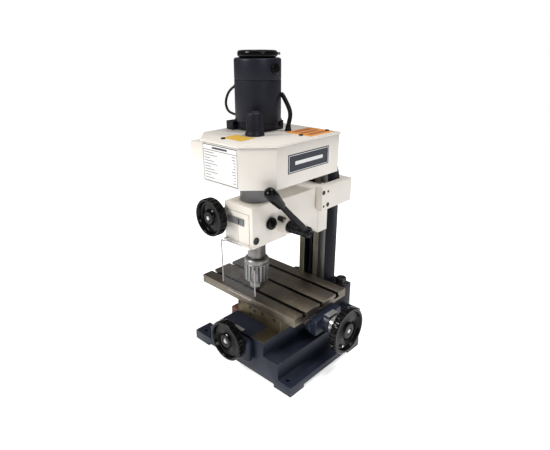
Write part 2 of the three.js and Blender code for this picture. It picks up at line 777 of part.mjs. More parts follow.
function leverHub() {
  const profile = [
    [0, 61],
    [SHAFT_BORE, 61],
    [SHAFT_BORE, BOSS_END + GAP],
    [10.6, BOSS_END + GAP],
    [10, 62],
    [9.5, 78],
    [9.5, 90],
    [8, 92],
    [0, 92],
  ];
  const hole = new THREE.CylinderGeometry(ROD_RADIUS + GAP, ROD_RADIUS + GAP, 30, 16);
  const tilt = new THREE.Matrix4().makeTranslation(LEVER_X, PINION_Y, PINION_Z);
  tilt.multiply(new THREE.Matrix4().makeRotationX(LEVER_ANGLE + Math.PI / 2));
  tilt.multiply(new THREE.Matrix4().makeTranslation(0, 15, 0));
  return cut(turned(profile, "x", [PINION_Y, PINION_Z]), solidOf(hole, tilt));
}

function leverKnob() {
  const profile = [
    [0, KNOB_START + 12],
    [ROD_RADIUS + GAP, KNOB_START + 12],
    [ROD_RADIUS + GAP, KNOB_START],
    [6.5, KNOB_START],
    [7.5, KNOB_START + 12],
    [9.2, KNOB_START + 24],
    [9.8, KNOB_START + 33],
    [8.8, KNOB_START + 39],
    [5.5, KNOB_END - 1.2],
    [0, KNOB_END],
  ];
  return turned(profile, "z", [0, 0], 20);
}

function leverAssembly() {
  const lever = new THREE.Group();
  add(lever, "pinion_shaft", pinionShaft(), "steel");
  add(lever, "lever_hub", leverHub(), "plastic");
  const arm = new THREE.Group();
  arm.position.set(LEVER_X, PINION_Y, PINION_Z);
  arm.rotation.x = LEVER_ANGLE;
  add(arm, "lever_rod", bar("z", ROD_RADIUS, LEVER_ROOT, KNOB_START + 11, [0, 0], 16), "steel");
  add(arm, "lever_knob", leverKnob(), "plastic");
  lever.add(arm);
  return lever;
}

function feedShaft() {
  const centre = [FEED_X, FEED_Z];
  const worm = bar("y", 6, WORM_FRONT + 8, WORM_REAR - 8, centre, 16);
  return joined(bar("y", FEED_SHAFT, -52, 52, centre, 20), worm);
}

function wormBox() {
  const centre = [FEED_X, FEED_Z];
  const wall = WORM_WALL;
  const right = -HEAD_HALF - GAP;
  const [low, high] = [WORM_BOTTOM + wall, WORM_TOP - wall];
  const solid = joined(
    block(WORM_LEFT, right, WORM_FRONT, WORM_REAR, WORM_BOTTOM, WORM_TOP),
    bar("y", SNOUT_RADIUS, SNOUT_FRONT, WORM_FRONT + 1, centre, 16),
  );
  return cut(
    solid,
    block(WORM_LEFT + wall, right + 1, WORM_FRONT + wall, WORM_REAR - wall, low, high),
    bar("y", FEED_SHAFT + GAP, SNOUT_FRONT - 1, WORM_FRONT + wall + 1, centre, 20),
  );
}

// ---------------------------------------------------------------- belt drive and cover

function coverOutline(inset, grow = 0) {
  const half = COVER_HALF - inset + grow;
  const front = COVER_FRONT + inset - grow;
  const rear = COVER_REAR - inset + grow;
  const corner = COVER_CORNER - (inset - grow) * (2 - Math.SQRT2);
  return [
    [half, rear],
    [-half, rear],
    [-half, front + corner],
    [corner - half, front],
    [half - corner, front],
    [half, front + corner],
  ];
}

function beltCover() {
  return cut(
    prism(coverOutline(0), "z", COVER_BOTTOM, COVER_TOP),
    prism(coverOutline(COVER_WALL), "z", COVER_BOTTOM + COVER_WALL, COVER_TOP + 1),
    bar("z", 9.3, COVER_BOTTOM - 1, COVER_BOTTOM + COVER_WALL + 1, [0, SPINDLE_Y]),
  );
}

function coverLid() {
  return cut(
    prism(coverOutline(0, LID_OVERHANG), "z", COVER_TOP + GAP, LID_TOP),
    bar("z", 8.5, COVER_TOP, LID_TOP + 1, [0, SPINDLE_Y]),
    bar("z", 6.3, COVER_TOP, LID_TOP + 1, [MOTOR_X, MOTOR_Y]),
  );
}

function headCollar() {
  const profile = [
    [9, HEAD_TOP + GAP],
    [26.5, HEAD_TOP + GAP],
    [26.5, COVER_BOTTOM - GAP],
    [9, COVER_BOTTOM - GAP],
  ];
  return turned(profile, "z", [0, SPINDLE_Y]);
}

// The line round both pulleys, at a distance from their faces.
function beltLine(distance) {
  const big = BIG_PULLEY + distance;
  const small = SMALL_PULLEY + distance;
  const run = Math.hypot(MOTOR_X, MOTOR_Y - SPINDLE_Y);
  const heading = Math.atan2(MOTOR_Y - SPINDLE_Y, MOTOR_X);
  const lean = Math.acos((big - small) / run);
  const line = new THREE.Shape();
  line.absarc(0, SPINDLE_Y, big, heading + lean, heading - lean + 2 * Math.PI, false);
  line.absarc(MOTOR_X, MOTOR_Y, small, heading - lean, heading + lean, false);
  return line;
}

function driveBelt() {
  return cut(
    prism(beltLine(GAP + BELT_THICKNESS), "z", BELT_BOTTOM, BELT_TOP),
    prism(beltLine(GAP), "z", BELT_BOTTOM - 1, BELT_TOP + 1),
  );
}

function spindlePulley() {
  const profile = [
    [5.8, 337],
    [8.7, 337],
    [8.7, 354],
    [BIG_PULLEY, 354],
    [BIG_PULLEY, 366],
    [8.7, 366],
    [8.7, 370],
    [5.8, 370],
  ];
  const keyway = block(4, 6.9, SPINDLE_Y - 1.5, SPINDLE_Y + 1.5, 336, 371);
  return cut(turned(profile, "z", [0, SPINDLE_Y]), keyway);
}

function spindleCap() {
  const bottom = LID_TOP + GAP;
  const profile = [
    [0, 446],
    [10, 446],
    [10, bottom],
    [15.75, bottom],
    [15.75, bottom + 3],
    [13.5, bottom + 5],
    [13.5, 449],
    [11.5, 451],
    [0, 451],
  ];
  return turned(profile, "z", [0, SPINDLE_Y]);
}

function controlBoard() {
  const bottom = COVER_BOTTOM + COVER_WALL;
  const parts = [
    block(15, 70, 62, 116, bottom + 5, bottom + 6.6),
    block(20, 34, 68, 92, bottom + 6, bottom + 22),
    bar("z", 8, bottom + 6, bottom + 28, [52, 78], 20),
    block(40, 64, 98, 110, bottom + 6, bottom + 18),
  ];
  for (const x of [19, 66]) {
    for (const y of [66, 112]) parts.push(bar("z", 2.5, bottom + GAP, bottom + 6, [x, y], 12));
  }
  return joined(...parts);
}

// ---------------------------------------------------------------- motor

const MOTOR = [MOTOR_X, MOTOR_Y];

function motorFoot() {
  const bottom = LID_TOP + GAP;
  const top = bottom + 14;
  const half = 30;
  const lug = 8;
  const [left, front] = [MOTOR_X - half, MOTOR_Y - half];
  const solids = [
    block(left, MOTOR_X + half, front, MOTOR_Y + half, bottom, bottom + 6),
    bar("z", 35, bottom + 5, top, MOTOR, 28),
    block(left - lug, left + lug, front - lug, front + lug, bottom, top),
  ];
  for (const x of [left, MOTOR_X + half - lug]) {
    for (const y of [front, MOTOR_Y + half - lug]) {
      solids.push(block(x, x + lug, y, y + lug, bottom, top));
    }
  }
  return cut(joined(...solids), bar("z", 6.3, bottom - 1, top + 1, MOTOR, 16));
}

function motorEndBell() {
  const profile = [
    [4.3, MOTOR_TOP],
    [MOTOR_RADIUS - 3, MOTOR_TOP],
    [MOTOR_RADIUS, MOTOR_TOP - 3],
    [MOTOR_RADIUS, MOTOR_SEAM],
    [MOTOR_RADIUS - 4, MOTOR_SEAM],
    [MOTOR_RADIUS - 4, MOTOR_TOP - 4.5],
    [4.3, MOTOR_TOP - 4.5],
  ];
  const reach = MOTOR_RADIUS + 4;
  const hole = BRUSH_RADIUS + GAP;
  const brushes = bar("x", hole, MOTOR_X - reach, MOTOR_X + reach, [MOTOR_Y, BRUSH_Z], 20);
  return cut(turned(profile, "z", MOTOR, 32), brushes);
}

function brushCap(side) {
  const centre = [MOTOR_Y, BRUSH_Z];
  const part = (radius, near, far, sides) => {
    const [one, other] = [MOTOR_X + side * near, MOTOR_X + side * far];
    return bar("x", radius, Math.min(one, other), Math.max(one, other), centre, sides);
  };
  const cap = part(8.5, MOTOR_RADIUS + GAP, MOTOR_RADIUS + 3.5, 16);
  return joined(part(BRUSH_RADIUS, 13.5, MOTOR_RADIUS + 1, 20), cap);
}

function fanCover() {
  const profile = [
    [0, MOTOR_TOP + GAP],
    [29, MOTOR_TOP + GAP],
    [32.5, MOTOR_TOP + 3],
    [32.5, MOTOR_TOP + 8],
    [30, MACHINE_TOP - 1],
    [27, MACHINE_TOP],
    [24, MACHINE_TOP - 1],
    [22, MACHINE_TOP - 4],
    [0, MACHINE_TOP - 4],
  ];
  return turned(profile, "z", MOTOR, 32);
}

function motorRotor() {
  const profile = [
    [0, 352],
    [4, 352],
    [4, 436],
    [30, 436],
    [30, 490],
    [4, 490],
    [4, 504],
    [12, 504],
    [12, 519],
    [4, 519],
    [4, MOTOR_TOP],
    [0, MOTOR_TOP],
  ];
  return turned(profile, "z", MOTOR);
}

// A round lead along a smooth curve through its points.
function lead(points, diameter, steps) {
  const section = new THREE.Shape();
  section.absarc(0, 0, diameter / 2, 0, 2 * Math.PI, false);
  const route = new THREE.CatmullRomCurve3(points.map((point) => new THREE.Vector3(...point)));
  const settings = { steps, extrudePath: route, curveSegments: 4 };
  return solidOf(new THREE.ExtrudeGeometry(section, settings));
}

const RIGHT_LEAD = [
  [-1.6, 76, 471],
  [2.5, 76, 465.5],
  [8.9, 75.5, 457.5],
  [14, 75, 450],
  [16.3, 75, 442.8],
  [15.5, 75, 434.5],
  [12.9, 75, 426.4],
  [12, 75, 415.2],
];

const LEFT_LEAD = [
  [-75.4, 40, 484.5],
  [-80, 40, 481.5],
  [-90, 40, 475],
  [-97, 40, 467],
  [-102, 40, 452],
  [-97, 40, 441],
  [-89, 40, 437.5],
  [-79, 40, 436],
  [-75.4, 40, 435.8],
];

// ---------------------------------------------------------------- guard and controls

function guard() {
  const shape = new THREE.Shape();
  const round = GUARD_CORNER;
  const side = GUARD_HALF - round;
  const low = GUARD_BOTTOM + round;
  shape.moveTo(-GUARD_HALF, GUARD_TOP);
  shape.lineTo(-GUARD_HALF, low);
  shape.absarc(-side, low, round, Math.PI, 1.5 * Math.PI, false);
  shape.absarc(side, low, round, 1.5 * Math.PI, 2 * Math.PI, false);
  shape.lineTo(GUARD_HALF, GUARD_TOP);
  const [front, rear] = [HINGE_Y - GUARD_SHEET, HINGE_Y + GUARD_SHEET];
  const hinge = [HINGE_Y, HINGE_Z];
  return joined(
    prism(shape, "y", front, rear),
    block(-GUARD_TONGUE, GUARD_TONGUE, front, rear, GUARD_TOP - 1, HINGE_Z),
    bar("x", HINGE_RADIUS + 1.1, -GUARD_TONGUE, GUARD_TONGUE, hinge, 16),
    bar("x", HINGE_RADIUS, -HINGE_REACH, HINGE_REACH, hinge, 12),
  );
}

function quillLockKnob() {
  const profile = [
    [0, 21],
    [LOCK_STUD, 21],
    [LOCK_STUD, HEAD_HALF + 0.6],
    [LOCK_RADIUS, HEAD_HALF + 0.6],
    [LOCK_RADIUS, LOCK_END - 1.5],
    [LOCK_RADIUS - 2, LOCK_END],
    [0, LOCK_END],
  ];
  return turned(profile, "x", [LOCK_Y, LOCK_Z], 20);
}

function controlBox() {
  const wall = 2.5;
  const inside = BOX_LEFT + wall;
  const [low, high] = [BOX_BOTTOM + wall, BOX_TOP - wall];
  const [from, to] = [BOX_LEFT - 1, inside + 1];
  return cut(
    block(BOX_LEFT, BOX_RIGHT, BOX_FRONT, BOX_REAR, BOX_BOTTOM, BOX_TOP),
    block(inside, BOX_RIGHT + 1, BOX_FRONT + wall, BOX_REAR - wall, low, high),
    block(from, to, ROCKER_Y - 6, ROCKER_Y + 6, CONTROL_Z - 9.5, CONTROL_Z + 9.5),
    bar("x", 5.3, from, to, [STOP_Y, CONTROL_Z], 16),
    bar("x", 3.3, from, to, [SPEED_Y, CONTROL_Z], 20),
  );
}

// The rocker is drawn about its pivot and pressed at its bottom.
function rockerAssembly() {
  const rocker = new THREE.Group();
  rocker.position.set(BOX_LEFT + 3, ROCKER_Y, CONTROL_Z);
  rocker.rotation.y = -Math.PI / 22.5;
  add(rocker, "rocker_switch", block(-6, 4, -5, 5, -7.5, 7.5), "green");
  return rocker;
}

function stopButton() {
  const profile = [
    [0, BOX_LEFT - 15],
    [9, BOX_LEFT - 14.5],
    [13, BOX_LEFT - 12],
    [13, BOX_LEFT - 8.5],
    [5, BOX_LEFT - 6],
    [5, BOX_LEFT + 12],
    [0, BOX_LEFT + 12],
  ];
  return turned(profile, "x", [STOP_Y, CONTROL_Z], 20);
}

function speedKnob() {
  const profile = [
    [0, BOX_LEFT - 12],
    [8.5, BOX_LEFT - 12],
    [10, BOX_LEFT - 2],
    [10, BOX_LEFT - GAP],
    [3, BOX_LEFT - GAP],
    [3, BOX_LEFT + 12],
    [0, BOX_LEFT + 12],
  ];
  return turned(profile, "x", [SPEED_Y, CONTROL_Z], 24);
}

// ---------------------------------------------------------------- the machine, put together

function frameAssembly() {
  const frame = new THREE.Group();
  add(frame, "base_casting", baseCasting(), "navy");
  add(frame, "column", column(), "black");
  add(frame, "column_bolt_left", columnBolt(-BOLT_X, LEFT_FOOT_TOP), "steel");
  add(frame, "column_bolt_right", columnBolt(BOLT_X, COLUMN_FOOT_TOP), "steel");
  add(frame, "y_bracket", yBracket(), "navy");
  return frame;
}

function slideAssembly() {
  const slides = new THREE.Group();
  const yAxis = [0, Y_SCREW_Z];
  const xAxis = [TABLE_CENTRE, X_SCREW_Z];
  add(slides, "y_lead_screw", bar("y", SCREW_RADIUS, -70, 140, yAxis, 16), "steel");
  add(slides, "y_dial", ring("y", 17.5, SCREW_BORE, -63.2, -60.3, yAxis), "steel");
  const yWheel = handwheel("y", yAxis, Y_WHEEL_RADIUS, Y_WHEEL_BACK, Y_WHEEL_FRONT, SCREW_BORE);
  add(slides, "y_handwheel", yWheel, "plastic");
  add(slides, "saddle", saddle(), "iron");
  const yNut = ring("y", NUT_RADIUS, SCREW_BORE, NUT_FRONT, TONGUE_REAR, yAxis, 16);
  add(slides, "y_nut", yNut, "brass");
  add(slides, "x_nut", xNut(), "brass");
  add(slides, "table", table(), "ground");
  add(slides, "x_bracket", xBracket(), "navy");
  add(slides, "x_lead_screw", bar("x", SCREW_RADIUS, -138, 155, xAxis, 16), "steel");
  add(slides, "x_dial", ring("x", 17, SCREW_BORE, X_BOSS_END + GAP, 149.8, xAxis), "steel");
  const xWheel = handwheel("x", xAxis, X_WHEEL_RADIUS, X_WHEEL_BACK, X_WHEEL_END, SCREW_BORE);
  add(slides, "x_handwheel", xWheel, "plastic");
  return slides;
}

function columnScrewAssembly() {
  const screw = new THREE.Group();
  screw.position.set(0, Z_SCREW_Y, 0);
  add(screw, "z_lead_screw", bar("z", SCREW_RADIUS, 103, 396, [0, 0], 16), "steel");
  add(screw, "z_hand_knob", ring("z", 16, SCREW_BORE, COLUMN_CAP + GAP, 398, [0, 0]), "plastic");
  return screw;
}

function headAssembly() {
  const head = new THREE.Group();
  add(head, "head_casting", headCasting(), "cream");
  add(head, "column_yoke", columnYoke(), "cream");
  add(head, "z_nut", zNut(), "brass");
  add(head, "head_collar", headCollar(), "grey");
  add(head, "belt_cover", beltCover(), "cream");
  add(head, "cover_lid", coverLid(), "cream");
  add(head, "spindle_cap", spindleCap(), "plastic");
  add(head, "drive_belt", driveBelt(), "rubber");
  add(head, "control_board", controlBoard(), "green");
  add(head, "worm_box", wormBox(), "cream");
  add(head, "control_box", controlBox(), "cream");
  add(head, "guard", guard(), "clear");
  add(head, "quill_lock_knob", quillLockKnob(), "plastic");
  add(head, "stop_button", stopButton(), "red");
  add(head, "speed_knob", speedKnob(), "plastic");
  add(head, "feed_shaft", feedShaft(), "steel");
  const feedAxis = [FEED_X, FEED_Z];
  const feedWheel = handwheel("y", feedAxis, FEED_WHEEL_RADIUS, -43, -58, FEED_SHAFT + GAP);
  add(head, "feed_handwheel", feedWheel, "plastic");
  head.add(rockerAssembly(), leverAssembly());
  return head;
}

function motorAssembly() {
  const motor = new THREE.Group();
  add(motor, "motor_foot", motorFoot(), "black");
  const [low, high] = [LID_TOP + 14.6, MOTOR_SEAM - GAP];
  add(motor, "motor_can", ring("z", MOTOR_RADIUS, MOTOR_RADIUS - 4, low, high, MOTOR, 32), "black");
  add(motor, "motor_end_bell", motorEndBell(), "black");
  add(motor, "brush_cap_left", brushCap(-1), "plastic");
  add(motor, "brush_cap_right", brushCap(1), "plastic");
  add(motor, "fan_cover", fanCover(), "plastic");
  add(motor, "motor_rotor", motorRotor(), "steel");
  add(motor, "motor_pulley", ring("z", SMALL_PULLEY, 4.3, 354, 366, MOTOR), "steel");
  add(motor, "motor_lead", lead(RIGHT_LEAD, 6.5, 12), "rubber");
  add(motor, "motor_loop_lead", lead(LEFT_LEAD, 4, 16), "rubber");
  return motor;
}

function spindleAssembly() {
  const tool = new THREE.Group();
  const centre = [0, SPINDLE_Y];
  add(tool, "quill", quill(), "steel");
  const bearing = ring("z", 11, 7.3, QUILL_BOTTOM + 0.2, QUILL_BOTTOM + 8, centre);
  add(tool, "quill_bearing", bearing, "steel");
  add(tool, "spindle", spindle(), "steel");
  add(tool, "spindle_pulley", spindlePulley(), "steel");
  add(tool, "chuck_body", chuckBody(), "steel");
  add(tool, "chuck_sleeve", chuckSleeve(), "steel");
  jawTurns().forEach((turn, n) => add(tool, "chuck_jaw_" + (n + 1), jaw(turn), "steel"));
  return tool;
}

// The part's origin is on the ground under the middle of the machine's box.
const machine = new THREE.Group();
machine.position.set(-(TABLE_LEFT + X_WHEEL_END) / 2, -(Y_WHEEL_FRONT + YOKE_REAR) / 2, 0);
machine.add(frameAssembly(), slideAssembly(), columnScrewAssembly());
machine.add(headAssembly(), motorAssembly(), spindleAssembly());

export default machine;
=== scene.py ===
# %% [markdown]
# # A benchtop milling machine, dressed in Blender
# The machine's working shapes come from its CAD model. This lesson gives every piece its fine
# surface: rounded edges on the castings, turned and grooved metal, moulded wheels, labels and
# screws, and a paint or metal finish made of nodes. Blender works in metres, and the profiles here
# are in millimetres. +Z is up, the operator stands at -Y, and the table's handwheel is at +X.

# %% Load the machine
import json
import math

import bmesh
import bpy
from mathutils import Euler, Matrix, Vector

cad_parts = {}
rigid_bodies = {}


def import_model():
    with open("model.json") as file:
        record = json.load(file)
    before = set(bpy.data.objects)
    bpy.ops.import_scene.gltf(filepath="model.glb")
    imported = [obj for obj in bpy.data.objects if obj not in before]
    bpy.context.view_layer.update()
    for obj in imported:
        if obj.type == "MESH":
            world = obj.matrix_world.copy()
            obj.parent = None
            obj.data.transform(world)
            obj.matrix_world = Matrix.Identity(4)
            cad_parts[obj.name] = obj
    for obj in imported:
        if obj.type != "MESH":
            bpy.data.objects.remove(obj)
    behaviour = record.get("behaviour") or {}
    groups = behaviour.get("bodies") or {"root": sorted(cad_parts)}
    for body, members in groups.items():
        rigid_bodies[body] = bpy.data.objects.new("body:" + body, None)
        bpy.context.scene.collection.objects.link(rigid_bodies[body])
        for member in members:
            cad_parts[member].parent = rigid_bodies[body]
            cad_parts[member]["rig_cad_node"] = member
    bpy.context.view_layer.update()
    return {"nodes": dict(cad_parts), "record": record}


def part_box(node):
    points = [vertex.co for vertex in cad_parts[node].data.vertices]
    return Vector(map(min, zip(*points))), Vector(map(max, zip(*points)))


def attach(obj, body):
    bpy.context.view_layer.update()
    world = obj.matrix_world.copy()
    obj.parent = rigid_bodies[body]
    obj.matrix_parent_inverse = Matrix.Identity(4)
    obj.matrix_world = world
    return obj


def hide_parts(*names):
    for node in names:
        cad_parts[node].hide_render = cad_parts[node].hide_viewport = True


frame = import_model()
MM = 0.001

# %% [markdown]
# ## Camera, floor and light
# The camera stands in front of the machine on its right, as high as the motor's top, and looks
# down at it. A large soft lamp on the left of the camera lights the front, a weaker one keeps the
# right side readable, and one from above lights the lid and the table.

# %% Camera
CAMERA_PLACE = Vector((0.5244, -0.5853, 0.5565))
CAMERA_PITCH = 68.38
CAMERA_TURN = 43.08
camera_data = bpy.data.cameras.new("camera")
camera_data.sensor_width = 36
camera_data.lens = 30.76
camera = bpy.data.objects.new("camera", camera_data)
camera.location = CAMERA_PLACE
camera.rotation_euler = (math.radians(CAMERA_PITCH), 0, math.radians(CAMERA_TURN))
bpy.context.scene.collection.objects.link(camera)
bpy.context.scene.camera = camera
print("camera at", tuple(round(v, 3) for v in camera.location))


# %% Light
def lamp(name, place, target, size, power, colour=(1, 1, 1)):
    """Add a square soft lamp that points at a target."""
    data = bpy.data.lights.new(name, "AREA")
    data.size = size
    data.energy = power
    data.color = colour
    light = bpy.data.objects.new(name, data)
    light.location = place
    light.rotation_euler = (Vector(target) - Vector(place)).to_track_quat("-Z", "Y").to_euler()
    bpy.context.scene.collection.objects.link(light)


lamp("key_lamp", (-1.4, -3.0, 2.7), (0, 0, 0.3), 1.0, 106, (1, 0.97, 0.93))
lamp("side_lamp", (3.2, -0.8, 1.9), (0, 0, 0.3), 0.9, 22, (0.96, 0.98, 1))
lamp("top_lamp", (0.4, 0.6, 3.7), (0, 0, 0.2), 1.2, 70)

bpy.context.scene.view_settings.view_transform = "Standard"
print("three lamps")

# %% [markdown]
# ## Shader maths written as plain expressions
# A finish is a small network of nodes. Wiring each Math node by hand hides the idea, so one small
# class wraps a socket and lets an expression such as `1 - scratches * 0.4` add the nodes. Every
# other kind of node comes from one method, `node`, which takes the node's settings and inputs.


# %% The node writer
class Shade:
    """A node's output. Arithmetic on it adds Math nodes to its material."""

    def __init__(self, tree, socket):
        self.tree = tree
        self.socket = socket

    def math(self, operation, first, second=0.0):
        return Paint(self.tree).node("ShaderNodeMath", {"operation": operation}, {0: first, 1: second})

    def __add__(self, other):
        return self.math("ADD", self, other)

    def __mul__(self, other):
        return self.math("MULTIPLY", self, other)

    def __rsub__(self, other):
        return self.math("SUBTRACT", other, self)

    __radd__ = __add__
    __rmul__ = __mul__


class Paint:
    """Builds one material, or adds nodes to a tree that is there."""

    def __init__(self, tree):
        self.tree = tree

    def node(self, kind, settings=None, values=None, output=0):
        """Add a node, apply its settings, fill its sockets and hand back one output."""
        made = self.tree.nodes.new(kind)
        for name, value in (settings or {}).items():
            setattr(made, name, value)
        for name, value in (values or {}).items():
            socket = made.inputs[name]
            if isinstance(value, Shade):
                self.tree.links.new(value.socket, socket)
            else:
                socket.default_value = value
        return Shade(self.tree, made.outputs[output])

    def place(self, scale=(1, 1, 1)):
        """The piece's own coordinates in metres, stretched by a scale."""
        here = self.node("ShaderNodeTexCoord", output="Object")
        return self.node("ShaderNodeMapping", values={"Vector": here, "Scale": scale})

    def noise(self, scale, detail=3.0, rough=0.55, stretch=(1, 1, 1)):
        """Soft random patches, between 0 and 1."""
        values = {"Vector": self.place(stretch), "Scale": scale, "Detail": detail, "Roughness": rough}
        return self.node("ShaderNodeTexNoise", values=values)

    def band(self, value, low, high):
        """0 below low, 1 above high, and a smooth step between them."""
        settings = {"interpolation_type": "SMOOTHSTEP"}
        values = {"Value": value, "From Min": low, "From Max": high}
        return self.node("ShaderNodeMapRange", settings, values)

    def mix(self, factor, first, second):
        """Blend two colours, each a node's output or red, green and blue."""
        tones = [tone if isinstance(tone, Shade) else (*tone, 1) for tone in (first, second)]
        values = {"Factor": factor, 6: tones[0], 7: tones[1]}
        return self.node("ShaderNodeMix", {"data_type": "RGBA"}, values, output=2)

    def attribute(self, name):
        """A number stored on the piece's faces."""
        return self.node("ShaderNodeAttribute", {"attribute_name": name}, output="Fac")

    def bump(self, height, distance, strength=1.0):
        """Turn heights into a surface direction."""
        values = {"Height": height, "Distance": distance, "Strength": strength}
        return self.node("ShaderNodeBump", values=values, output="Normal")


def finish(name, recipe, **constants):
    """Make a material: the recipe fills the sockets that vary, and the constants fill the rest."""
    material = bpy.data.materials.new(name)
    material.use_nodes = True
    shader = material.node_tree.nodes["Principled BSDF"]
    for socket, value in constants.items():
        shader.inputs[socket.replace("_", " ")].default_value = value
    for socket, value in recipe(Paint(material.node_tree)).items():
        target = shader.inputs[socket.replace("_", " ")]
        if isinstance(value, Shade):
            material.node_tree.links.new(value.socket, target)
        else:
            target.default_value = value
    return material


print("the node writer is ready")

# %% [markdown]
# ## The studio round the machine
# The world looks white to the camera, so the floor has no visible edge. To everything else it is
# dim, so the lamps still shape the machine and the dark enamel stays dark.


# %% Studio
def studio(world):
    """White behind the machine, and dim as a light."""
    paint = Paint(world.node_tree)
    white = (1, 1, 1, 1)
    dim = paint.node("ShaderNodeBackground", values={"Color": white, "Strength": 0.2})
    bright = paint.node("ShaderNodeBackground", values={"Color": white, "Strength": 1.0})
    seen = paint.node("ShaderNodeLightPath", output="Is Camera Ray")
    choice = paint.node("ShaderNodeMixShader", values={0: seen, 1: dim, 2: bright})
    world.node_tree.links.new(choice.socket, world.node_tree.nodes["World Output"].inputs["Surface"])


world = bpy.data.worlds.new("studio")
world.use_nodes = True
studio(world)
bpy.context.scene.world = world
print("the studio looks white but lights dimly")

# %% [markdown]
# ## Enamel
# The castings and the sheet-metal cover are sprayed with enamel. Close up it isn't flat: it has a
# faint orange peel, patches that are a little duller, and chips along the sharp edges, where the
# primer or iron shows. The chips use a number called `edge` that the rounding step stores on the
# faces of every rounded edge.


# %% Enamel finishes
def enamel(name, base, shade, worn, chips=0.0, rough=0.32, peel=0.00002, coat=0.25, gloss=0.2):
    """A sprayed enamel with orange peel, tone patches and chipped edges."""

    def recipe(paint):
        patches = paint.band(paint.noise(14, 4), 0.35, 0.7)
        specks = paint.band(paint.noise(520, 2), 0.62, 0.72)
        chip_noise = paint.band(paint.noise(150, 5, 0.7), 0.56 - 0.12 * chips, 0.66)
        chip = paint.attribute("edge") * chip_noise * min(1.0, chips)
        tone = paint.mix(patches * 0.8 + specks * 0.1, base, shade)
        return {
            "Base_Color": paint.mix(chip, tone, worn),
            "Roughness": rough + patches * 0.1 + chip * 0.25,
            "Normal": paint.bump(paint.noise(900, 2) * (1 - chip), peel, 0.5),
        }

    return finish(name, recipe, Coat_Weight=coat, Coat_Roughness=0.12, Specular_IOR_Level=gloss)


CREAM = enamel(
    "cream_enamel", (0.80, 0.76, 0.70), (0.75, 0.705, 0.645), (0.45, 0.41, 0.36), 0.25,
    gloss=0.4,
)
NAVY = enamel(
    "navy_enamel", (0.017, 0.022, 0.040), (0.012, 0.015, 0.027), (0.14, 0.14, 0.15), 1.0,
    rough=0.36, peel=0.00012, coat=0.04,
)
BLACK = enamel(
    "blue_black_enamel", (0.007, 0.008, 0.013), (0.005, 0.005, 0.008),
    (0.04, 0.04, 0.045), 0.3, rough=0.3, coat=0.0, gloss=0.1,
)
GREY = enamel(
    "grey_enamel", (0.17, 0.175, 0.185), (0.12, 0.12, 0.125), (0.3, 0.3, 0.3), 0.3,
    rough=0.38,
)
PRIMER = enamel(
    "red_primer", (0.13, 0.045, 0.032), (0.06, 0.03, 0.028), (0.25, 0.2, 0.17), 0.6,
    rough=0.5,
)
MOTOR_PAINT = enamel(
    "satin_motor_paint", (0.011, 0.012, 0.021), (0.008, 0.009, 0.015),
    (0.06, 0.06, 0.07), 0.3, rough=0.4, coat=0.0, gloss=0.25,
)
print("six enamels")

# %% [markdown]
# ## Bare metal
# The table is ground, so it carries fine parallel scratches along its length and brown patches of
# old oil. The saddle and the ways are scraped and oiled iron. Turned parts show rings round their
# axis, which a noise stretched across the axis gives.


# %% Metal finishes
def ground(name, base, stain, along=(4, 260, 260), rough=0.3):
    """Ground iron: scratches along one axis, and stains of old oil."""

    def recipe(paint):
        scratches = paint.noise(16, 4, 0.7, along)
        stains = paint.band(paint.noise(13, 5, 0.6), 0.42, 0.66)
        dark = paint.band(paint.noise(36, 4, 0.65), 0.5, 0.72)
        tone = paint.mix(stains * 0.75, base, stain)
        tone = paint.mix(dark * 0.25, tone, (0.02, 0.018, 0.015))
        return {
            "Base_Color": paint.mix(paint.attribute("edge") * 0.55, tone, (0.42, 0.39, 0.34)),
            "Roughness": rough + scratches * 0.16 + stains * 0.08,
            "Normal": paint.bump(scratches, 0.00002, 0.6),
        }

    return finish(name, recipe, Metallic=0.85)


def turned_metal(name, base, rough=0.24, rings=(2, 2, 900), metallic=1.0, dark=0.3, worn=0.4):
    """Lathe-turned metal: fine rings, with a few duller bands."""

    def recipe(paint):
        marks = paint.noise(3, 3, 0.7, rings)
        smears = paint.band(paint.noise(60, 3), 0.45, 0.75)
        shade = [part * (1 - dark) for part in base]
        tone = paint.mix(smears, base, shade)
        return {
            "Base_Color": paint.mix(paint.attribute("edge") * worn, tone, (0.75, 0.74, 0.72)),
            "Roughness": rough + marks * 0.12 + smears * 0.1,
            "Normal": paint.bump(marks, 0.00001, 0.5),
        }

    return finish(name, recipe, Metallic=metallic)


TABLE_IRON = ground("ground_table_iron", (0.165, 0.142, 0.112), (0.075, 0.052, 0.033))
WAY_IRON = ground(
    "oiled_way_iron", (0.105, 0.092, 0.06), (0.055, 0.045, 0.03), (260, 4, 60), rough=0.36
)
COLUMN_IRON = ground(
    "column_way_iron", (0.14, 0.128, 0.095), (0.07, 0.062, 0.045), (260, 60, 4), rough=0.34
)
SADDLE_IRON = ground(
    "scraped_saddle_iron", (0.125, 0.1, 0.06), (0.06, 0.045, 0.03), (60, 60, 60), rough=0.42
)
SHOULDER_IRON = ground(
    "shoulder_way_iron", (0.3, 0.3, 0.28), (0.2, 0.19, 0.17), (260, 60, 4), rough=0.34
)
# A very dark iron that is painted shade: it goes on the walls of the table's slots and of the head's
# bore.
RECESS_SHADE_IRON = ground(
    "recess_iron_painted_shade", (0.03, 0.027, 0.022), (0.018, 0.015, 0.012), (4, 260, 260), rough=0.45
)
STEEL_X = turned_metal("steel_turned_on_x", (0.5, 0.5, 0.5), rings=(900, 2, 2))
STEEL_Y = turned_metal("steel_turned_on_y", (0.5, 0.5, 0.5), rings=(2, 900, 2))
STEEL_Z = turned_metal("steel_turned_on_z", (0.5, 0.5, 0.5))
BLACKED = turned_metal("blacked_steel", (0.012, 0.012, 0.014), rough=0.34, metallic=0.5, worn=0.06)
BRIGHT = turned_metal("bright_nut_steel", (0.6, 0.6, 0.6), rough=0.2, dark=0.2)
SILVER = turned_metal("satin_aluminium", (0.6, 0.61, 0.62), rough=0.35, dark=0.1)
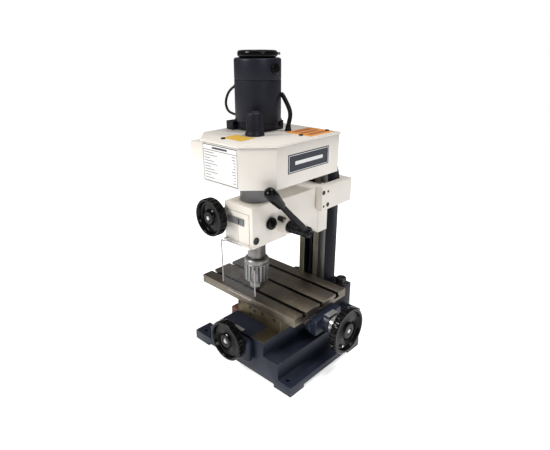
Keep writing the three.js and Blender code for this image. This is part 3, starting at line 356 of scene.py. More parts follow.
CHUCK_STEEL = turned_metal("hardened_chuck_steel", (0.2, 0.197, 0.193), rough=0.3, dark=0.35)
QUILL_STEEL = turned_metal("oiled_quill_steel", (0.17, 0.165, 0.16), rough=0.26, dark=0.4)
BRASS = turned_metal("bronze", (0.55, 0.38, 0.16), rough=0.3)
print("metals: three turned steels, blacked and bright steel, chuck, quill, bronze and six ground irons")

# %% [markdown]
# ## Plastic, rubber, labels and the clear guard
# The wheels and knobs are moulded in black phenolic, which is glossy with a slight waviness. The
# guard is a clear sheet, so it is nearly all alpha, and only its sawn edges show.


# %% Plastic finishes
def moulded(name, base, rough=0.2, coat=0.3, grain=0.00003, dust=0.02, gloss=0.4):
    """Moulded plastic with faint waviness and a film of dust."""

    def recipe(paint):
        film = paint.band(paint.noise(45, 4), 0.5, 0.8)
        dusty = [part + dust for part in base]
        return {
            "Base_Color": paint.mix(film * 0.5 + paint.attribute("edge") * 0.15, base, dusty),
            "Roughness": rough + film * 0.14,
            "Normal": paint.bump(paint.noise(380, 2), grain, 0.4),
        }

    return finish(name, recipe, Coat_Weight=coat, Coat_Roughness=0.08, Specular_IOR_Level=gloss)


PLASTIC = moulded(
    "black_phenolic", (0.003, 0.003, 0.0035), rough=0.15, coat=0.0, dust=0.002, gloss=0.15
)
SATIN_PLASTIC = moulded(
    "satin_black_plastic", (0.005, 0.005, 0.007), rough=0.25, coat=0.0, dust=0.004, gloss=0.14
)
RED = moulded("red_plastic", (0.42, 0.012, 0.008), dust=0.01)
GREEN = moulded("green_plastic", (0.015, 0.15, 0.04), dust=0.01)
BOARD = moulded("circuit_board", (0.01, 0.09, 0.03), rough=0.45, coat=0.0)
RUBBER = moulded(
    "black_rubber", (0.006, 0.006, 0.007), rough=0.5, coat=0.0, grain=0.00008, dust=0.006, gloss=0.2
)
WHITE = moulded("white_label", (0.80, 0.80, 0.80), rough=0.4, coat=0.1, dust=-0.03)
YELLOW = moulded("yellow_label", (0.74, 0.45, 0.07), rough=0.4, coat=0.1, dust=-0.03)
ORANGE = moulded("orange_label", (0.78, 0.30, 0.06), rough=0.4, coat=0.1, dust=-0.03)
RUST = moulded("brown_label_ink", (0.36, 0.12, 0.03), rough=0.45, coat=0.1, dust=0.03)
INK = moulded("label_ink", (0.03, 0.033, 0.04), rough=0.4, coat=0.0)
PALE_INK = moulded("grey_label_ink", (0.2, 0.2, 0.21), rough=0.4, coat=0.0)
PLATE_BLUE = moulded("blue_black_plate", (0.012, 0.015, 0.028), rough=0.35, coat=0.0)
SAWN_EDGE = moulded("sawn_guard_edge", (0.52, 0.46, 0.45), rough=0.4, coat=0.0)


def clear_sheet(paint):
    """A clear sheet whose cut edges scatter light."""
    haze = paint.band(paint.noise(30, 3), 0.4, 0.8)
    edge = paint.attribute("edge")
    return {
        "Base_Color": paint.mix(edge, (0.8, 0.84, 0.9), (0.36, 0.33, 0.33)),
        "Alpha": 0.02 + haze * 0.015 + edge * 0.35,
        "Roughness": 0.04 + haze * 0.05,
    }


CLEAR = finish("clear_guard", clear_sheet)


def floor_recipe(paint):
    """A plain pale floor with the faintest unevenness."""
    unevenness = paint.noise(3, 2) * 0.2
    return {"Base_Color": paint.mix(unevenness, (0.9, 0.9, 0.9), (0.87, 0.87, 0.87))}


GLOW = {"Emission_Color": (1, 1, 1, 1), "Emission_Strength": 0.6}
FLOOR = finish("pale_floor", floor_recipe, Roughness=0.8, **GLOW)
print("plastics, labels and a clear sheet")

# %% [markdown]
# ## The floor
# One wide sheet. Its far edge lies in the view, but the floor and the studio are both white there.


# %% Floor
def deselect():
    """Leave edit mode and select nothing."""
    if bpy.context.object and bpy.context.object.mode != "OBJECT":
        bpy.ops.object.mode_set(mode="OBJECT")
    bpy.ops.object.select_all(action="DESELECT")


deselect()
bpy.ops.mesh.primitive_plane_add(size=5, location=(0, 0, -0.0002))
floor = bpy.context.object
floor.name = "floor"
floor.data.materials.append(FLOOR)
print("floor laid")

# %% [markdown]
# ## Modelling helpers
# Three ways of making a piece cover most of the machine. A casting starts as a merged copy of its
# CAD piece, and its sharp edges are rounded. A turned piece starts as a circle that is extruded and
# scaled from station to station, like a lathe's profile. Small plates and bars start as a cube of
# their size. All three end the same way: rounded edges, smooth shading and a ride on their body.

# %% Places on the machine
ORIGIN = Vector((0, 0, 0))
RECORD = frame["record"]
BODY_OF = {node: body for body, nodes in RECORD["behaviour"]["bodies"].items() for node in nodes}


def middle(node):
    """The middle of a CAD piece's box."""
    low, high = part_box(node)
    return (low + high) / 2


CENTRE_X = middle("z_lead_screw").x
TABLE_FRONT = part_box("table")[0].y


def at(x, y, z):
    """A place in millimetres from the centreline, the table's front edge and the ground."""
    return Vector((CENTRE_X + x * MM, TABLE_FRONT + y * MM, z * MM))


print("the centreline is at", round(CENTRE_X, 5), "and the table's front edge at", round(TABLE_FRONT, 5))


# %% Selecting, applying and settling
def alone(piece):
    """Leave edit mode and select one piece alone."""
    deselect()
    piece.select_set(True)
    bpy.context.view_layer.objects.active = piece


def leave_edit():
    """Go back to object mode."""
    bpy.ops.object.mode_set(mode="OBJECT")


def in_edit(piece):
    """Enter edit mode on one piece, with all of it selected."""
    alone(piece)
    bpy.ops.object.mode_set(mode="EDIT")
    bpy.ops.mesh.select_mode(type="VERT")
    bpy.ops.mesh.select_all(action="SELECT")


def apply(piece, kind, **settings):
    """Add a modifier and apply it at once."""
    alone(piece)
    modifier = piece.modifiers.new(kind.lower(), kind)
    for name, value in settings.items():
        setattr(modifier, name, value)
    bpy.ops.object.modifier_apply(modifier=modifier.name)


def settle(piece):
    """Put the piece's place into its mesh, so that its object sits at the origin."""
    alone(piece)
    bpy.ops.object.transform_apply(location=True, rotation=True, scale=True)


def pick_faces(piece, test):
    """In edit mode, select only the faces whose centre and normal pass a test."""
    bpy.ops.mesh.select_mode(type="FACE")
    mesh = bmesh.from_edit_mesh(piece.data)
    for face in mesh.faces:
        face.select = bool(test(face.calc_center_median(), face.normal))
    mesh.select_flush_mode()
    bmesh.update_edit_mesh(piece.data)


def rounded(piece, width, segments=2):
    """Round the sharp edges, and store which faces came from an edge."""
    settle(piece)
    piece.data.materials.clear()
    piece.data.materials.append(CREAM)
    piece.data.materials.append(NAVY)
    apply(piece, "BEVEL", width=width, segments=segments, angle_limit=math.radians(30), material=1)
    edge = piece.data.attributes.new("edge", "FLOAT", "FACE")
    edge.data.foreach_set("value", [float(face.material_index) for face in piece.data.polygons])
    for face in piece.data.polygons:
        face.material_index = 0
    return piece


def done(piece, name, material, body, nodes=(), smooth=35):
    """Name the piece, give it its finish, and let it ride on its body."""
    settle(piece)
    piece.name = name
    piece.data.name = name
    piece.data.materials.clear()
    piece.data.materials.append(material)
    bpy.ops.object.shade_smooth_by_angle(angle=math.radians(smooth))
    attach(piece, body)
    if nodes:
        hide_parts(*nodes)
    return piece


def stands_for(piece, node, material, smooth=35):
    """The piece takes the place and the body of one CAD piece, and the CAD piece is hidden."""
    return done(piece, node + "_fine", material, BODY_OF[node], (node,), smooth)


def dress(piece, material, test):
    """Give a second finish to the faces that pass a test."""
    piece.data.materials.append(material)
    index = len(piece.data.materials) - 1
    for face in piece.data.polygons:
        if test(face.center, face.normal):
            face.material_index = index


# %% Castings, turned pieces and plates
def merged_copy(node):
    """Copy a CAD piece, merge its corners, and leave the copy in edit mode."""
    alone(frame["nodes"][node])
    bpy.ops.object.duplicate()
    piece = bpy.context.object
    del piece["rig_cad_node"]
    piece.parent = None
    bpy.ops.mesh.customdata_custom_splitnormals_clear()
    in_edit(piece)
    bpy.ops.mesh.remove_doubles(threshold=0.00001)
    return piece


def casting(node, width, material, segments=2):
    """A merged copy of a CAD piece with rounded edges."""
    piece = merged_copy(node)
    bpy.ops.mesh.dissolve_limited(angle_limit=math.radians(1))
    rounded(piece, width, segments)
    return stands_for(piece, node, material)


LAY_ON = {
    "X": Euler((0, math.radians(90), 0)),
    "Y": Euler((math.radians(-90), 0, 0)),
    "Z": Euler((0, 0, 0)),
    "lever": Euler((math.radians(45), 0, 0)),
}


def turn(profile, axis, centre, sides=64, width=0.0004, hollow=False):
    """Extrude a circle through (radius, station) pairs in millimetres, then lay it on its axis."""
    deselect()
    radius, station = profile[0]
    bpy.ops.mesh.primitive_circle_add(vertices=sides, radius=radius * MM, location=ORIGIN)
    piece = bpy.context.object
    in_edit(piece)
    bpy.ops.transform.translate(value=(0, 0, station * MM))
    for wider, further in list(profile[1:]) + ([profile[0]] if hollow else []):
        step = (0, 0, (further - station) * MM)
        bpy.ops.mesh.extrude_region_move(TRANSFORM_OT_translate={"value": step})
        bpy.ops.transform.resize(value=(wider / radius, wider / radius, 1), center_override=ORIGIN)
        radius, station = wider, further
    bpy.ops.mesh.select_all(action="SELECT")
    bpy.ops.mesh.remove_doubles(threshold=0.000002)
    if not hollow:
        bpy.ops.mesh.select_all(action="SELECT")
        bpy.ops.mesh.fill_holes(sides=0)
    bpy.ops.mesh.select_all(action="SELECT")
    bpy.ops.mesh.normals_make_consistent(inside=False)
    leave_edit()
    piece.rotation_euler = LAY_ON[axis]
    piece.location = centre
    settle(piece)
    return rounded(piece, width) if width else piece


def plate(low, high, width=0.0004, segments=2):
    """A bar or plate between two corners, with rounded edges."""
    deselect()
    bpy.ops.mesh.primitive_cube_add(size=1, location=(low + high) / 2)
    piece = bpy.context.object
    piece.scale = high - low
    return rounded(piece, width, segments)


def joined(pieces):
    """Join several pieces into the first."""
    deselect()
    for piece in pieces:
        piece.select_set(True)
    bpy.context.view_layer.objects.active = pieces[0]
    bpy.ops.object.join()
    return bpy.context.object


def repeated(piece, steps):
    """Copy a piece, each copy with its own mesh, by steps in millimetres, and join them all."""
    pieces = [piece]
    for step in steps:
        alone(piece)
        bpy.ops.object.duplicate(linked=False)
        copy = bpy.context.object
        copy.location = piece.location + Vector(step) * MM
        settle(copy)
        pieces.append(copy)
    return joined(pieces)


def sink(piece, test, rim, depth, each=False):
    """Inset the faces that pass a test and push them in."""
    in_edit(piece)
    pick_faces(piece, test)
    bpy.ops.mesh.inset(thickness=rim, depth=-depth, use_individual=each)
    leave_edit()
    return piece


def around(centre, axis, point):
    """A point's angle and distance round an axis."""
    offset = point - centre
    pair = {"X": (offset.y, offset.z), "Y": (offset.x, offset.z), "Z": (offset.x, offset.y)}[axis]
    return math.atan2(pair[1], pair[0]) % math.tau, math.hypot(*pair)


def alternate(centre, axis, sides, reach, tilt=2.0):
    """A test for every second face of an outer band, beyond a reach in metres."""

    def test(c, n):
        angle, distance = around(centre, axis, c)
        level = abs(n["XYZ".index(axis)]) < tilt
        return distance > reach and level and int(angle / math.tau * sides) % 2

    return test


print("helpers ready")

# %% [markdown]
# ## Base and column
# Both are iron castings under enamel. Their CAD shapes are right, so each gets broad rounded edges,
# as a mould leaves. The column's dovetail and shoulders aren't painted, because the head slides on
# them, and the same holds for the right way in front of the saddle, which is cut off from the
# painted part of the top by a bisection.

# %% Base
base = casting("base_casting", 0.0016, NAVY, 3)
way_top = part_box("base_casting")[1].z
bare_from = at(33, 0, 0).x
in_edit(base)
bpy.ops.mesh.bisect(plane_co=(bare_from, 0, 0), plane_no=(1, 0, 0))
leave_edit()
dress(base, WAY_IRON, lambda c, n: n.z > 0.7 and c.z > way_top - 0.0003 and c.x > bare_from)
print("base", tuple(round(v, 3) for v in base.dimensions))

# %% Column
column = casting("column", 0.0009, BLACK)
foot_top = at(0, 0, 100).z
nose_front = at(0, 153.6, 0).y
shoulder = at(0, 163.6, 0).y
bare = lambda c, n: c.z > foot_top and n.y < -0.7
dress(column, COLUMN_IRON, lambda c, n: bare(c, n) and c.y < nose_front + 0.0002)
dress(column, SHOULDER_IRON, lambda c, n: bare(c, n) and abs(c.y - shoulder) < 0.0002)
print("column", tuple(round(v, 3) for v in column.dimensions))


# %% Column bolts
def hexagon(centre, across, height, axis="Z"):
    """A bolt head: a six-sided bar with its corners turned off."""
    deselect()
    size = {"radius": across / 2 * MM, "depth": height * MM}
    bpy.ops.mesh.primitive_cylinder_add(vertices=6, location=centre, **size)
    head = bpy.context.object
    head.rotation_euler = LAY_ON[axis]
    return rounded(head, height * 0.1 * MM, 2)


for side in ("left", "right"):
    low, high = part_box("column_bolt_" + side)
    place = middle("column_bolt_" + side)
    place.z = high.z
    length = (low.z - high.z) / MM
    head = hexagon(place - Vector((0, 0, 0.0052)), 21, 10.2)
    washer = turn([(6.2, -13.6), (11.6, -13.6), (11.6, -10.4), (6.2, -10.4)], "Z", place, 48, hollow=True)
    shank = turn([(6, length), (6, -9)], "Z", place, 32)
    stands_for(joined([head, washer, shank]), "column_bolt_" + side, BLACKED)
print("two bolts with heads, washers and shanks")

# %% [markdown]
# ## Saddle, table and nuts
# The saddle's front is scraped iron and its left step shows red-brown primer. The table is ground,
# and the walls of its slots are painted very dark, as painted shade in the recesses. Both keep small
# crisp edges, since a grinder leaves them sharp and a file only breaks them.

# %% Saddle and table
saddle = casting("saddle", 0.0006, SADDLE_IRON)
step_right = at(-43.2, 0, 0).x
in_edit(saddle)
bpy.ops.mesh.bisect(plane_co=(step_right, 0, 0), plane_no=(1, 0, 0))
leave_edit()
dress(saddle, PRIMER, lambda c, n: c.x < step_right)
table = casting("table", 0.0005, TABLE_IRON)
slot_floor = at(0, 0, 106).z
table_low, table_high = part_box("table")


def in_slot(c, n):
    """True for the walls and floors of the table's slots."""
    in_length = table_low.x + 0.001 < c.x < table_high.x - 0.001
    in_width = table_low.y + 0.002 < c.y < table_high.y - 0.002
    return in_length and in_width and slot_floor < c.z < table_high.z - 0.0006


# The slots' walls and floors are painted very dark, as painted shade in the recesses.
dress(table, RECESS_SHADE_IRON, in_slot)
for node in ("y_nut", "x_nut", "z_nut"):
    casting(node, 0.0004, BRASS)
print("saddle, table and three bronze nuts")

# %% [markdown]
# ## Brackets and lead screws
# Each lead screw is a real thread. One tooth of the thread is drawn as a short line, and a Screw
# modifier winds it round the axis with a rise of 2 mm a turn, which is the lead that the couplings
# use, so the thread looks right when the screw turns and its slide moves.

# %% Brackets
y_axis = at(0, 0, 67.4)
x_axis = at(0, 74, 89.3)
z_axis = at(0, 162.5, 0)


def bored(piece, tool):
    """Cut a tool out of a piece."""
    apply(piece, "BOOLEAN", operation="DIFFERENCE", solver="EXACT", object=tool)
    bpy.data.objects.remove(tool)
    return piece


pillow = plate(at(-46, -56, 30), at(40, -40.7, 75.9), 0.0065, 6)
pillow.data.attributes.remove(pillow.data.attributes["edge"])
collar = [(9, -54), (15, -54), (15, -58.8), (13.8, -60), (9, -60)]
pillow = joined([pillow, turn(collar, "Y", y_axis, 64, hollow=True)])
pillow = bored(pillow, turn([(5.3, -61), (5.3, -40)], "Y", y_axis, 48, 0))
stands_for(pillow, "y_bracket", NAVY)
casting("x_bracket", 0.0026, NAVY, 4)
print("a pillow-shaped front bracket and a side bracket")


# %% Lead screws
LEAD = 2.0
THREAD = ((4.95, 0.0), (4.95, 0.55), (3.9, 0.9), (3.9, 1.6), (4.95, LEAD))


def lead_screw(node, axis, centre, start, end, journal):
    """A thread between two stations, with a plain journal at each end."""
    deselect()
    bpy.ops.mesh.primitive_plane_add(size=0.001, location=ORIGIN)
    thread = bpy.context.object
    in_edit(thread)
    bpy.ops.mesh.delete(type="ONLY_FACE")
    bpy.ops.mesh.select_all(action="SELECT")
    bpy.ops.mesh.merge(type="CENTER")
    bpy.ops.transform.translate(value=(THREAD[0][0] * MM, 0, 0))
    here = THREAD[0]
    for point in THREAD[1:]:
        move = ((point[0] - here[0]) * MM, 0, (point[1] - here[1]) * MM)
        bpy.ops.mesh.extrude_region_move(TRANSFORM_OT_translate={"value": move})
        here = point
    leave_edit()
    turns = int((end - start - 2 * journal) / LEAD)
    winding = {"screw_offset": LEAD * MM, "iterations": turns, "steps": 20, "render_steps": 20}
    apply(thread, "SCREW", use_merge_vertices=True, **winding)
    in_edit(thread)
    bpy.ops.mesh.remove_doubles(threshold=0.000002)
    bpy.ops.mesh.normals_make_consistent(inside=False)
    leave_edit()
    thread.location = (0, 0, (start + journal) * MM)
    settle(thread)
    thread.rotation_euler = LAY_ON[axis]
    thread.location = centre
    settle(thread)
    first = turn([(5, start), (5, start + journal + LEAD)], axis, centre, 40)
    last_from = start + journal + turns * LEAD - LEAD
    last = turn([(5, last_from), (5, end)], axis, centre, 40)
    metal = {"X": STEEL_X, "Y": STEEL_Y, "Z": BLACKED}[axis]
    stands_for(joined([first, last, thread]), node, metal)
    print(node, "has", turns, "turns of thread")


lead_screw("y_lead_screw", "Y", y_axis, -70, 140, 22)
lead_screw("x_lead_screw", "X", x_axis, -138, 155, 20)
lead_screw("z_lead_screw", "Z", z_axis, 103, 396, 12)

# %% [markdown]
# ## Handwheels and dials
# A moulded handwheel is dished, with a grip rim that has a row of finger grooves. The rim's outer
# band is a ring of small faces, so two in every four are inset together and pushed in. The web
# carries a steel nut at its middle and a screw where a crank handle could be fitted. The dials are
# turned steel rings with engraved lines, which are faces sunk in the same way.

# %% Handwheel
def handwheel(node, axis, outward, grooves):
    """A dished wheel of the CAD wheel's size. Outward is the side that the operator sees."""
    low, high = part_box(node)
    centre = (low + high) / 2
    letter = "XYZ".index(axis)
    depth = (high - low)[letter] / MM
    radius = (high - low)[(letter + 1) % 3] / 2 / MM
    bore = 5.2 if node != "feed_handwheel" else 4.2
    parts = [
        (bore / radius, 5), (0.3, 5), (0.42, 5.4), (0.78, 4.2), (0.83, 3), (0.86, 0), (0.965, 0),
        (1, 1.5), (1, 12.5), (0.965, 14), (0.89, 14), (0.86, 13), (0.82, 7.6), (0.76, 6.6),
        (0.44, 7.6), (0.36, 9.4), (0.32, 13), (bore / radius, 13),
    ]
    profile = [(share * radius, outward * (part / 14 - 0.5) * depth) for share, part in parts]
    wheel = turn(profile, axis, centre, grooves * 4, 0, hollow=True)

    def in_groove(c, n):
        angle, distance = around(centre, axis, c)
        flat = abs((c - centre)[letter]) < depth * 0.4 * MM
        return flat and distance > radius * 0.98 * MM and int(angle / math.tau * grooves * 4) % 4 < 2

    sink(wheel, in_groove, 0.0004, 0.0017)
    rounded(wheel, 0.0004)
    stands_for(wheel, node, PLASTIC)
    face = centre.copy()
    face[letter] += outward * (13 / 14 - 0.5) * depth * MM
    return face


def wheel_nut(name, face, axis, outward, across, body, reach):
    """A bright nut with a domed screw end, standing on the wheel's hub, and never beyond its reach."""
    letter = "XYZ".index(axis)
    nut_place = face.copy()
    nut_place[letter] += outward * reach * 0.3 * MM
    nut = hexagon(nut_place, across, reach * 0.6, axis)
    end = [(across * 0.27, 0), (across * 0.27, outward * reach * 0.8), (across * 0.12, outward * reach)]
    done(joined([nut, turn(end, axis, face, 32, 0.0003)]), name, SILVER, body)


face = handwheel("y_handwheel", "Y", -1, 24)
wheel_nut("y_wheel_nut", face, "Y", -1, 8, "y_screw", 0.9)
spot = turn([(2.6, 0), (2.6, -3.2), (1.6, -4)], "Y", face + Vector((0.002, 0.0055, 0.0115)), 24)
done(spot, "y_wheel_handle_screw", BRIGHT, "y_screw")
face = handwheel("x_handwheel", "X", 1, 26)
wheel_nut("x_wheel_nut", face, "X", 1, 8, "x_screw", 0.9)
spot = turn([(2.4, 0), (2.4, 3.2), (1.5, 4)], "X", face + Vector((-0.006, -0.012, -0.0265)), 24)
done(spot, "x_wheel_handle_screw", BRIGHT, "x_screw")
face = handwheel("feed_handwheel", "Y", -1, 22)
wheel_nut("feed_wheel_nut", face, "Y", -1, 7.5, "fine_feed", 2)
print("three handwheels with nuts and handle screws")


# %% Dials
def dial(node, axis, divisions, fine):
    """A steel ring with engraved lines across its outer band."""
    low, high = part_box(node)
    centre = (low + high) / 2
    letter = "XYZ".index(axis)
    half = (high - low)[letter] / 2 / MM
    radius = (high - low)[(letter + 1) % 3] / 2 / MM
    line_end = -half * 0.1
    profile = [(5.3, -half), (radius, -half), (radius, line_end), (radius, half), (5.3, half)]
    ring = turn(profile, axis, centre, divisions * 4, 0, hollow=True)

    def engraved(c, n):
        angle, distance = around(centre, axis, c)
        outer = distance > radius * 0.95 * MM and (c - centre)[letter] < line_end * MM
        return outer and int(angle / math.tau * divisions * 4) % 4 == 0

    sink(ring, engraved, 0.00005, 0.00025)
    rounded(ring, 0.0002, 1)
    stands_for(ring, node, fine)
    dress(ring, INK, lambda c, n: around(centre, axis, c)[1] < (radius - 0.1) * MM and engraved(c, n))


dial("y_dial", "Y", 40, STEEL_Y)
dial("x_dial", "X", 40, STEEL_X)
print("two dials with 40 divisions each")

# %% Column hand knob
low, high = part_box("z_hand_knob")
knob_bottom = low.z / MM
knob = [(5.3, 0.1), (14.5, 0.1), (15.8, 1.4), (15.8, 7.4), (14.2, 9.6), (7, 9.6), (5.3, 8.8)]
knob = [(wide, knob_bottom + height) for wide, height in knob]
cap = turn(knob, "Z", z_axis, 64, 0, hollow=True)
sink(cap, alternate(z_axis, "Z", 64, 0.0155), 0.0002, 0.0007, each=True)
stands_for(rounded(cap, 0.0002), "z_hand_knob", PLASTIC)
print("column hand knob with 32 grooves")

# %% [markdown]
# ## Head castings
# The head, its yoke and the worm box are iron castings in cream enamel, and the belt cover is a
# folded sheet. A cover's folds have a small radius, so all four are copied from CAD with rounded
# edges. The front plate, the depth scale and the lever's boss are separate trim.

# %% Head, yoke and worm box
head = casting("head_casting", 0.0009, CREAM)
bore = at(0, 9, 0)
# The walls of the quill's bore in the head are painted very dark, as painted shade.
dress(head, RECESS_SHADE_IRON, lambda c, n: around(bore, "Z", c)[1] < 0.0169 and abs(n.z) < 0.5)
casting("column_yoke", 0.0009, CREAM)
worm_box = casting("worm_box", 0.0009, CREAM)
worm_front = at(0, 21.5, 0).y
dress(worm_box, BLACK, lambda c, n: c.y < worm_front)
print("head, yoke and worm box")

# %% Front plate, depth scale and boss
front_plate = plate(at(-29.7, -32.3, 244.6), at(25, -31.2, 296), 0.0003)
done(front_plate, "front_plate", CREAM, "head")
# The thin dark outline round the front plate is its joint; the short upright bar below the scale is
# painted shade, standing in for a slot.
joint_and_slot_shade = joined(
    [
        plate(at(-30.1, -31.6, 244.2), at(25.4, -31.3, 296.4), 0.00005, 1),
        plate(at(-1.3, -32.36, 245), at(-0.6, -32.2, 274), 0.00005, 1),
    ]
)
done(joint_and_slot_shade, "front_plate_joint_and_slot_shade", INK, "head")
scale = plate(at(-23.5, -34.3, 275), at(15, -32.2, 287), 0.0005, 3)
done(scale, "depth_scale", GREY, "head")
mark = plate(at(-21.4, -34.42, 281.4), at(-21.1, -34.25, 286), 0.00003, 1)
marks = repeated(mark, [(n * 2.4, 0, 0) for n in range(1, 15)])
done(marks, "depth_scale_lines", PALE_INK, "head")
pointer = plate(at(3, -34.9, 277), at(5.4, -34.2, 285.5), 0.0003)
done(pointer, "depth_pointer", BLACKED, "head")
print("front plate with a scale of 15 lines")

# %% [markdown]
# ## Belt cover and what it hides
# The cover carries a white data plate on its front, and a dark plate on its right side. Lettering
# is left out, and plain bars stand in for it. The belt, pulleys and board inside get their own
# finishes, since they show when the lid is off.

# %% Cover, lid and collar
casting("belt_cover", 0.0008, CREAM)
lid = casting("cover_lid", 0.001, CREAM)
lid_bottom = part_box("cover_lid")[0].z
# A band 1.1 mm high at the lid's lower edge is painted with the dark label ink, as a painted shadow in
# the gap under the lid.
dress(lid, INK, lambda c, n: c.z < lid_bottom + 0.0011)
collar = [(9, 309.2), (25.4, 309.2), (26.4, 310.2), (26.4, 346.8), (25.4, 347.8), (9, 347.8)]
stands_for(turn(collar, "Z", bore, 96, 0.0005, hollow=True), "head_collar", GREY)
cap_side = [(10, 415), (15.7, 415), (15.7, 417), (14.2, 419.6), (13.6, 424), (13.5, 447), (12.6, 449.6)]
cap_top = [(10.6, 450.9), (8.2, 450.9), (7.6, 449.6), (0.6, 449.6), (0.6, 446), (10, 446)]
stands_for(turn(cap_side + cap_top, "Z", bore, 80, hollow=True), "spindle_cap", MOTOR_PAINT)
casting("drive_belt", 0.0006, RUBBER)
casting("control_board", 0.0003, BOARD)
print("cover, lid, collar and cap")


# %% Labels
def label(name, low, high, material):
    """A thin sticker or plate on the cover."""
    done(plate(low, high, 0.00008, 1), name, material, "head")


def bar(x_low, y_low, z_low, x_high, y_high, z_high):
    """A very thin bar between two places in millimetres, as for one line of print."""
    return plate(at(x_low, y_low, z_low), at(x_high, y_high, z_high), 0.00003, 1)


label("data_plate", at(-38, -66.25, 350.5), at(40.3, -65.75, 409.5), WHITE)
border = [
    bar(-37.4, -66.32, 351.2, -36.5, -66.2, 408.8),
    bar(38.8, -66.32, 351.2, 39.7, -66.2, 408.8),
    bar(-37.4, -66.32, 351.2, 39.7, -66.2, 352.4),
    bar(-37.4, -66.32, 407.6, 39.7, -66.2, 408.8),
    bar(-37.4, -66.32, 399.9, 39.7, -66.2, 400.7),
    bar(-16, -66.32, 402.8, 18, -66.2, 405.8),
]
done(joined(border), "data_plate_border", INK, "head")
rows = []
for number in range(10):
    height = 396 - number * 4.4
    long_bar = 22 + 9 * math.sin(number * 2.1)
    short_bar = 6 + 2.5 * math.sin(number * 1.3 + 1)
    rows.append(bar(-34.5, -66.3, height, -34.5 + long_bar, -66.2, height + 1.2))
    rows.append(bar(36 - short_bar, -66.3, height, 36, -66.2, height + 1.2))
done(joined(rows), "data_plate_rows", PALE_INK, "head")
label("side_plate", at(80.4, -2, 367.7), at(80.95, 97, 396.7), PLATE_BLUE)
frame_bars = [
    bar(80.9, -0.4, 369.2, 81.1, 95.4, 370.1),
    bar(80.9, -0.4, 394.3, 81.1, 95.4, 395.2),
    bar(80.9, -0.4, 369.2, 81.1, 0.5, 395.2),
    bar(80.9, 94.5, 369.2, 81.1, 95.4, 395.2),
    bar(80.9, 14, 379.4, 81.1, 81, 385),
]
done(joined(frame_bars), "side_plate_lines", WHITE, "head")
label("yellow_label", at(-23, -40, 414.5), at(19, -9, 414.85), YELLOW)
label("warning_label", at(18, 60, 414.5), at(72, 123, 414.85), ORANGE)
bars = [bar(24 + n * 15, 70, 414.8, 34 + n * 15, 113, 414.95) for n in range(3)]
done(joined(bars), "warning_label_bars", RUST, "head")
print("a data plate with", len(rows), "bars, a side plate and two stickers")

# %% [markdown]
# ## Motor
# The motor's can and end bell are one smooth satin cylinder with a fine seam. Each piece is turned
# again with 96 sides, so its outline is round. A slotted brush cap sits in each side, and the fan
# cover has a glossy rolled ring round a recessed grille.

# %% Can, bell and foot
motor_axis = at(-37, 54, 0)
can = [(34.6, 429.3), (37.9, 429.3), (38.4, 430), (38.4, 494.9), (38, 495.4), (34.6, 495.4)]
stands_for(turn(can, "Z", motor_axis, 96, 0.0003, hollow=True), "motor_can", MOTOR_PAINT)
bell = [(4.4, 524), (34.6, 524), (34.6, 495.8), (38, 495.8), (38.4, 496.3), (38.4, 525)]
bell += [(37.6, 527.3), (35.6, 528.4), (4.4, 528.4)]
stands_for(turn(bell, "Z", motor_axis, 96, hollow=True), "motor_end_bell", MOTOR_PAINT)
casting("motor_foot", 0.0012, MOTOR_PAINT, 3)
print("can, bell and foot")

# %% Brush caps and fan cover
brush_line = at(0, 54, 513)
for side, outward in (("left", -1), ("right", 1)):
    near = -37 + outward * 38.8
    far = -37 + outward * 41.9
    cap = turn([(8.4, near), (8.4, far - outward * 0.6), (7.6, far)], "X", brush_line, 48, 0.0003)
    holder = turn([(5.9, -37 + outward * 13.6), (5.9, near + outward)], "X", brush_line, 32)
    inner = far - outward * 0.4
    ring = [(4.6, inner), (5.4, inner), (5.4, far), (4.6, far)]
    ring_piece = turn(ring, "X", brush_line, 48, 0.0001, hollow=True)
    low, high = sorted((far - outward * 0.3, far + outward * 0.05))
    slot_bar = plate(at(low, 47.6, 512.1), at(high, 60.4, 513.9), 0.0001, 1)
    stands_for(joined([cap, holder, ring_piece, slot_bar]), "brush_cap_" + side, PLASTIC)
fan = [(0.6, 529), (29, 529), (31.6, 530.6), (32.4, 533), (32.4, 536), (31.4, 538.4), (29.4, 539.6)]
fan += [(27, 539.9), (24.6, 539.2), (23, 537.4), (22, 536), (8, 536), (7, 537.4), (0.6, 537.4)]
fan_piece = turn(fan, "Z", motor_axis, 96, 0, hollow=True)


def fan_slot(c, n):
    """True for two faces in every four of the grille's flat ring."""
    angle, distance = around(motor_axis, "Z", c)
    return n.z > 0.9 and 0.008 < distance < 0.022 and int(angle / math.tau * 96) % 4 < 2


sink(fan_piece, fan_slot, 0.0003, 0.003)
stands_for(rounded(fan_piece, 0.0003), "fan_cover", PLASTIC)
stub = plate(at(-15, 73, 532.6), at(-9.5, 79, 536.8), 0.0008, 3)
done(stub, "fan_cover_clip", GREY, "head")
print("brush caps and fan cover")


# %% Motor leads
def soft_tube(node, fatten):
    """A smooth copy of a lead's CAD tube, fattened by what the smoothing takes off."""
    tube = merged_copy(node)
    leave_edit()
    apply(tube, "SUBSURF", levels=2, render_levels=2)
    in_edit(tube)
    bpy.ops.transform.shrink_fatten(value=fatten * MM)
    leave_edit()
    return stands_for(tube, node, RUBBER, 60)


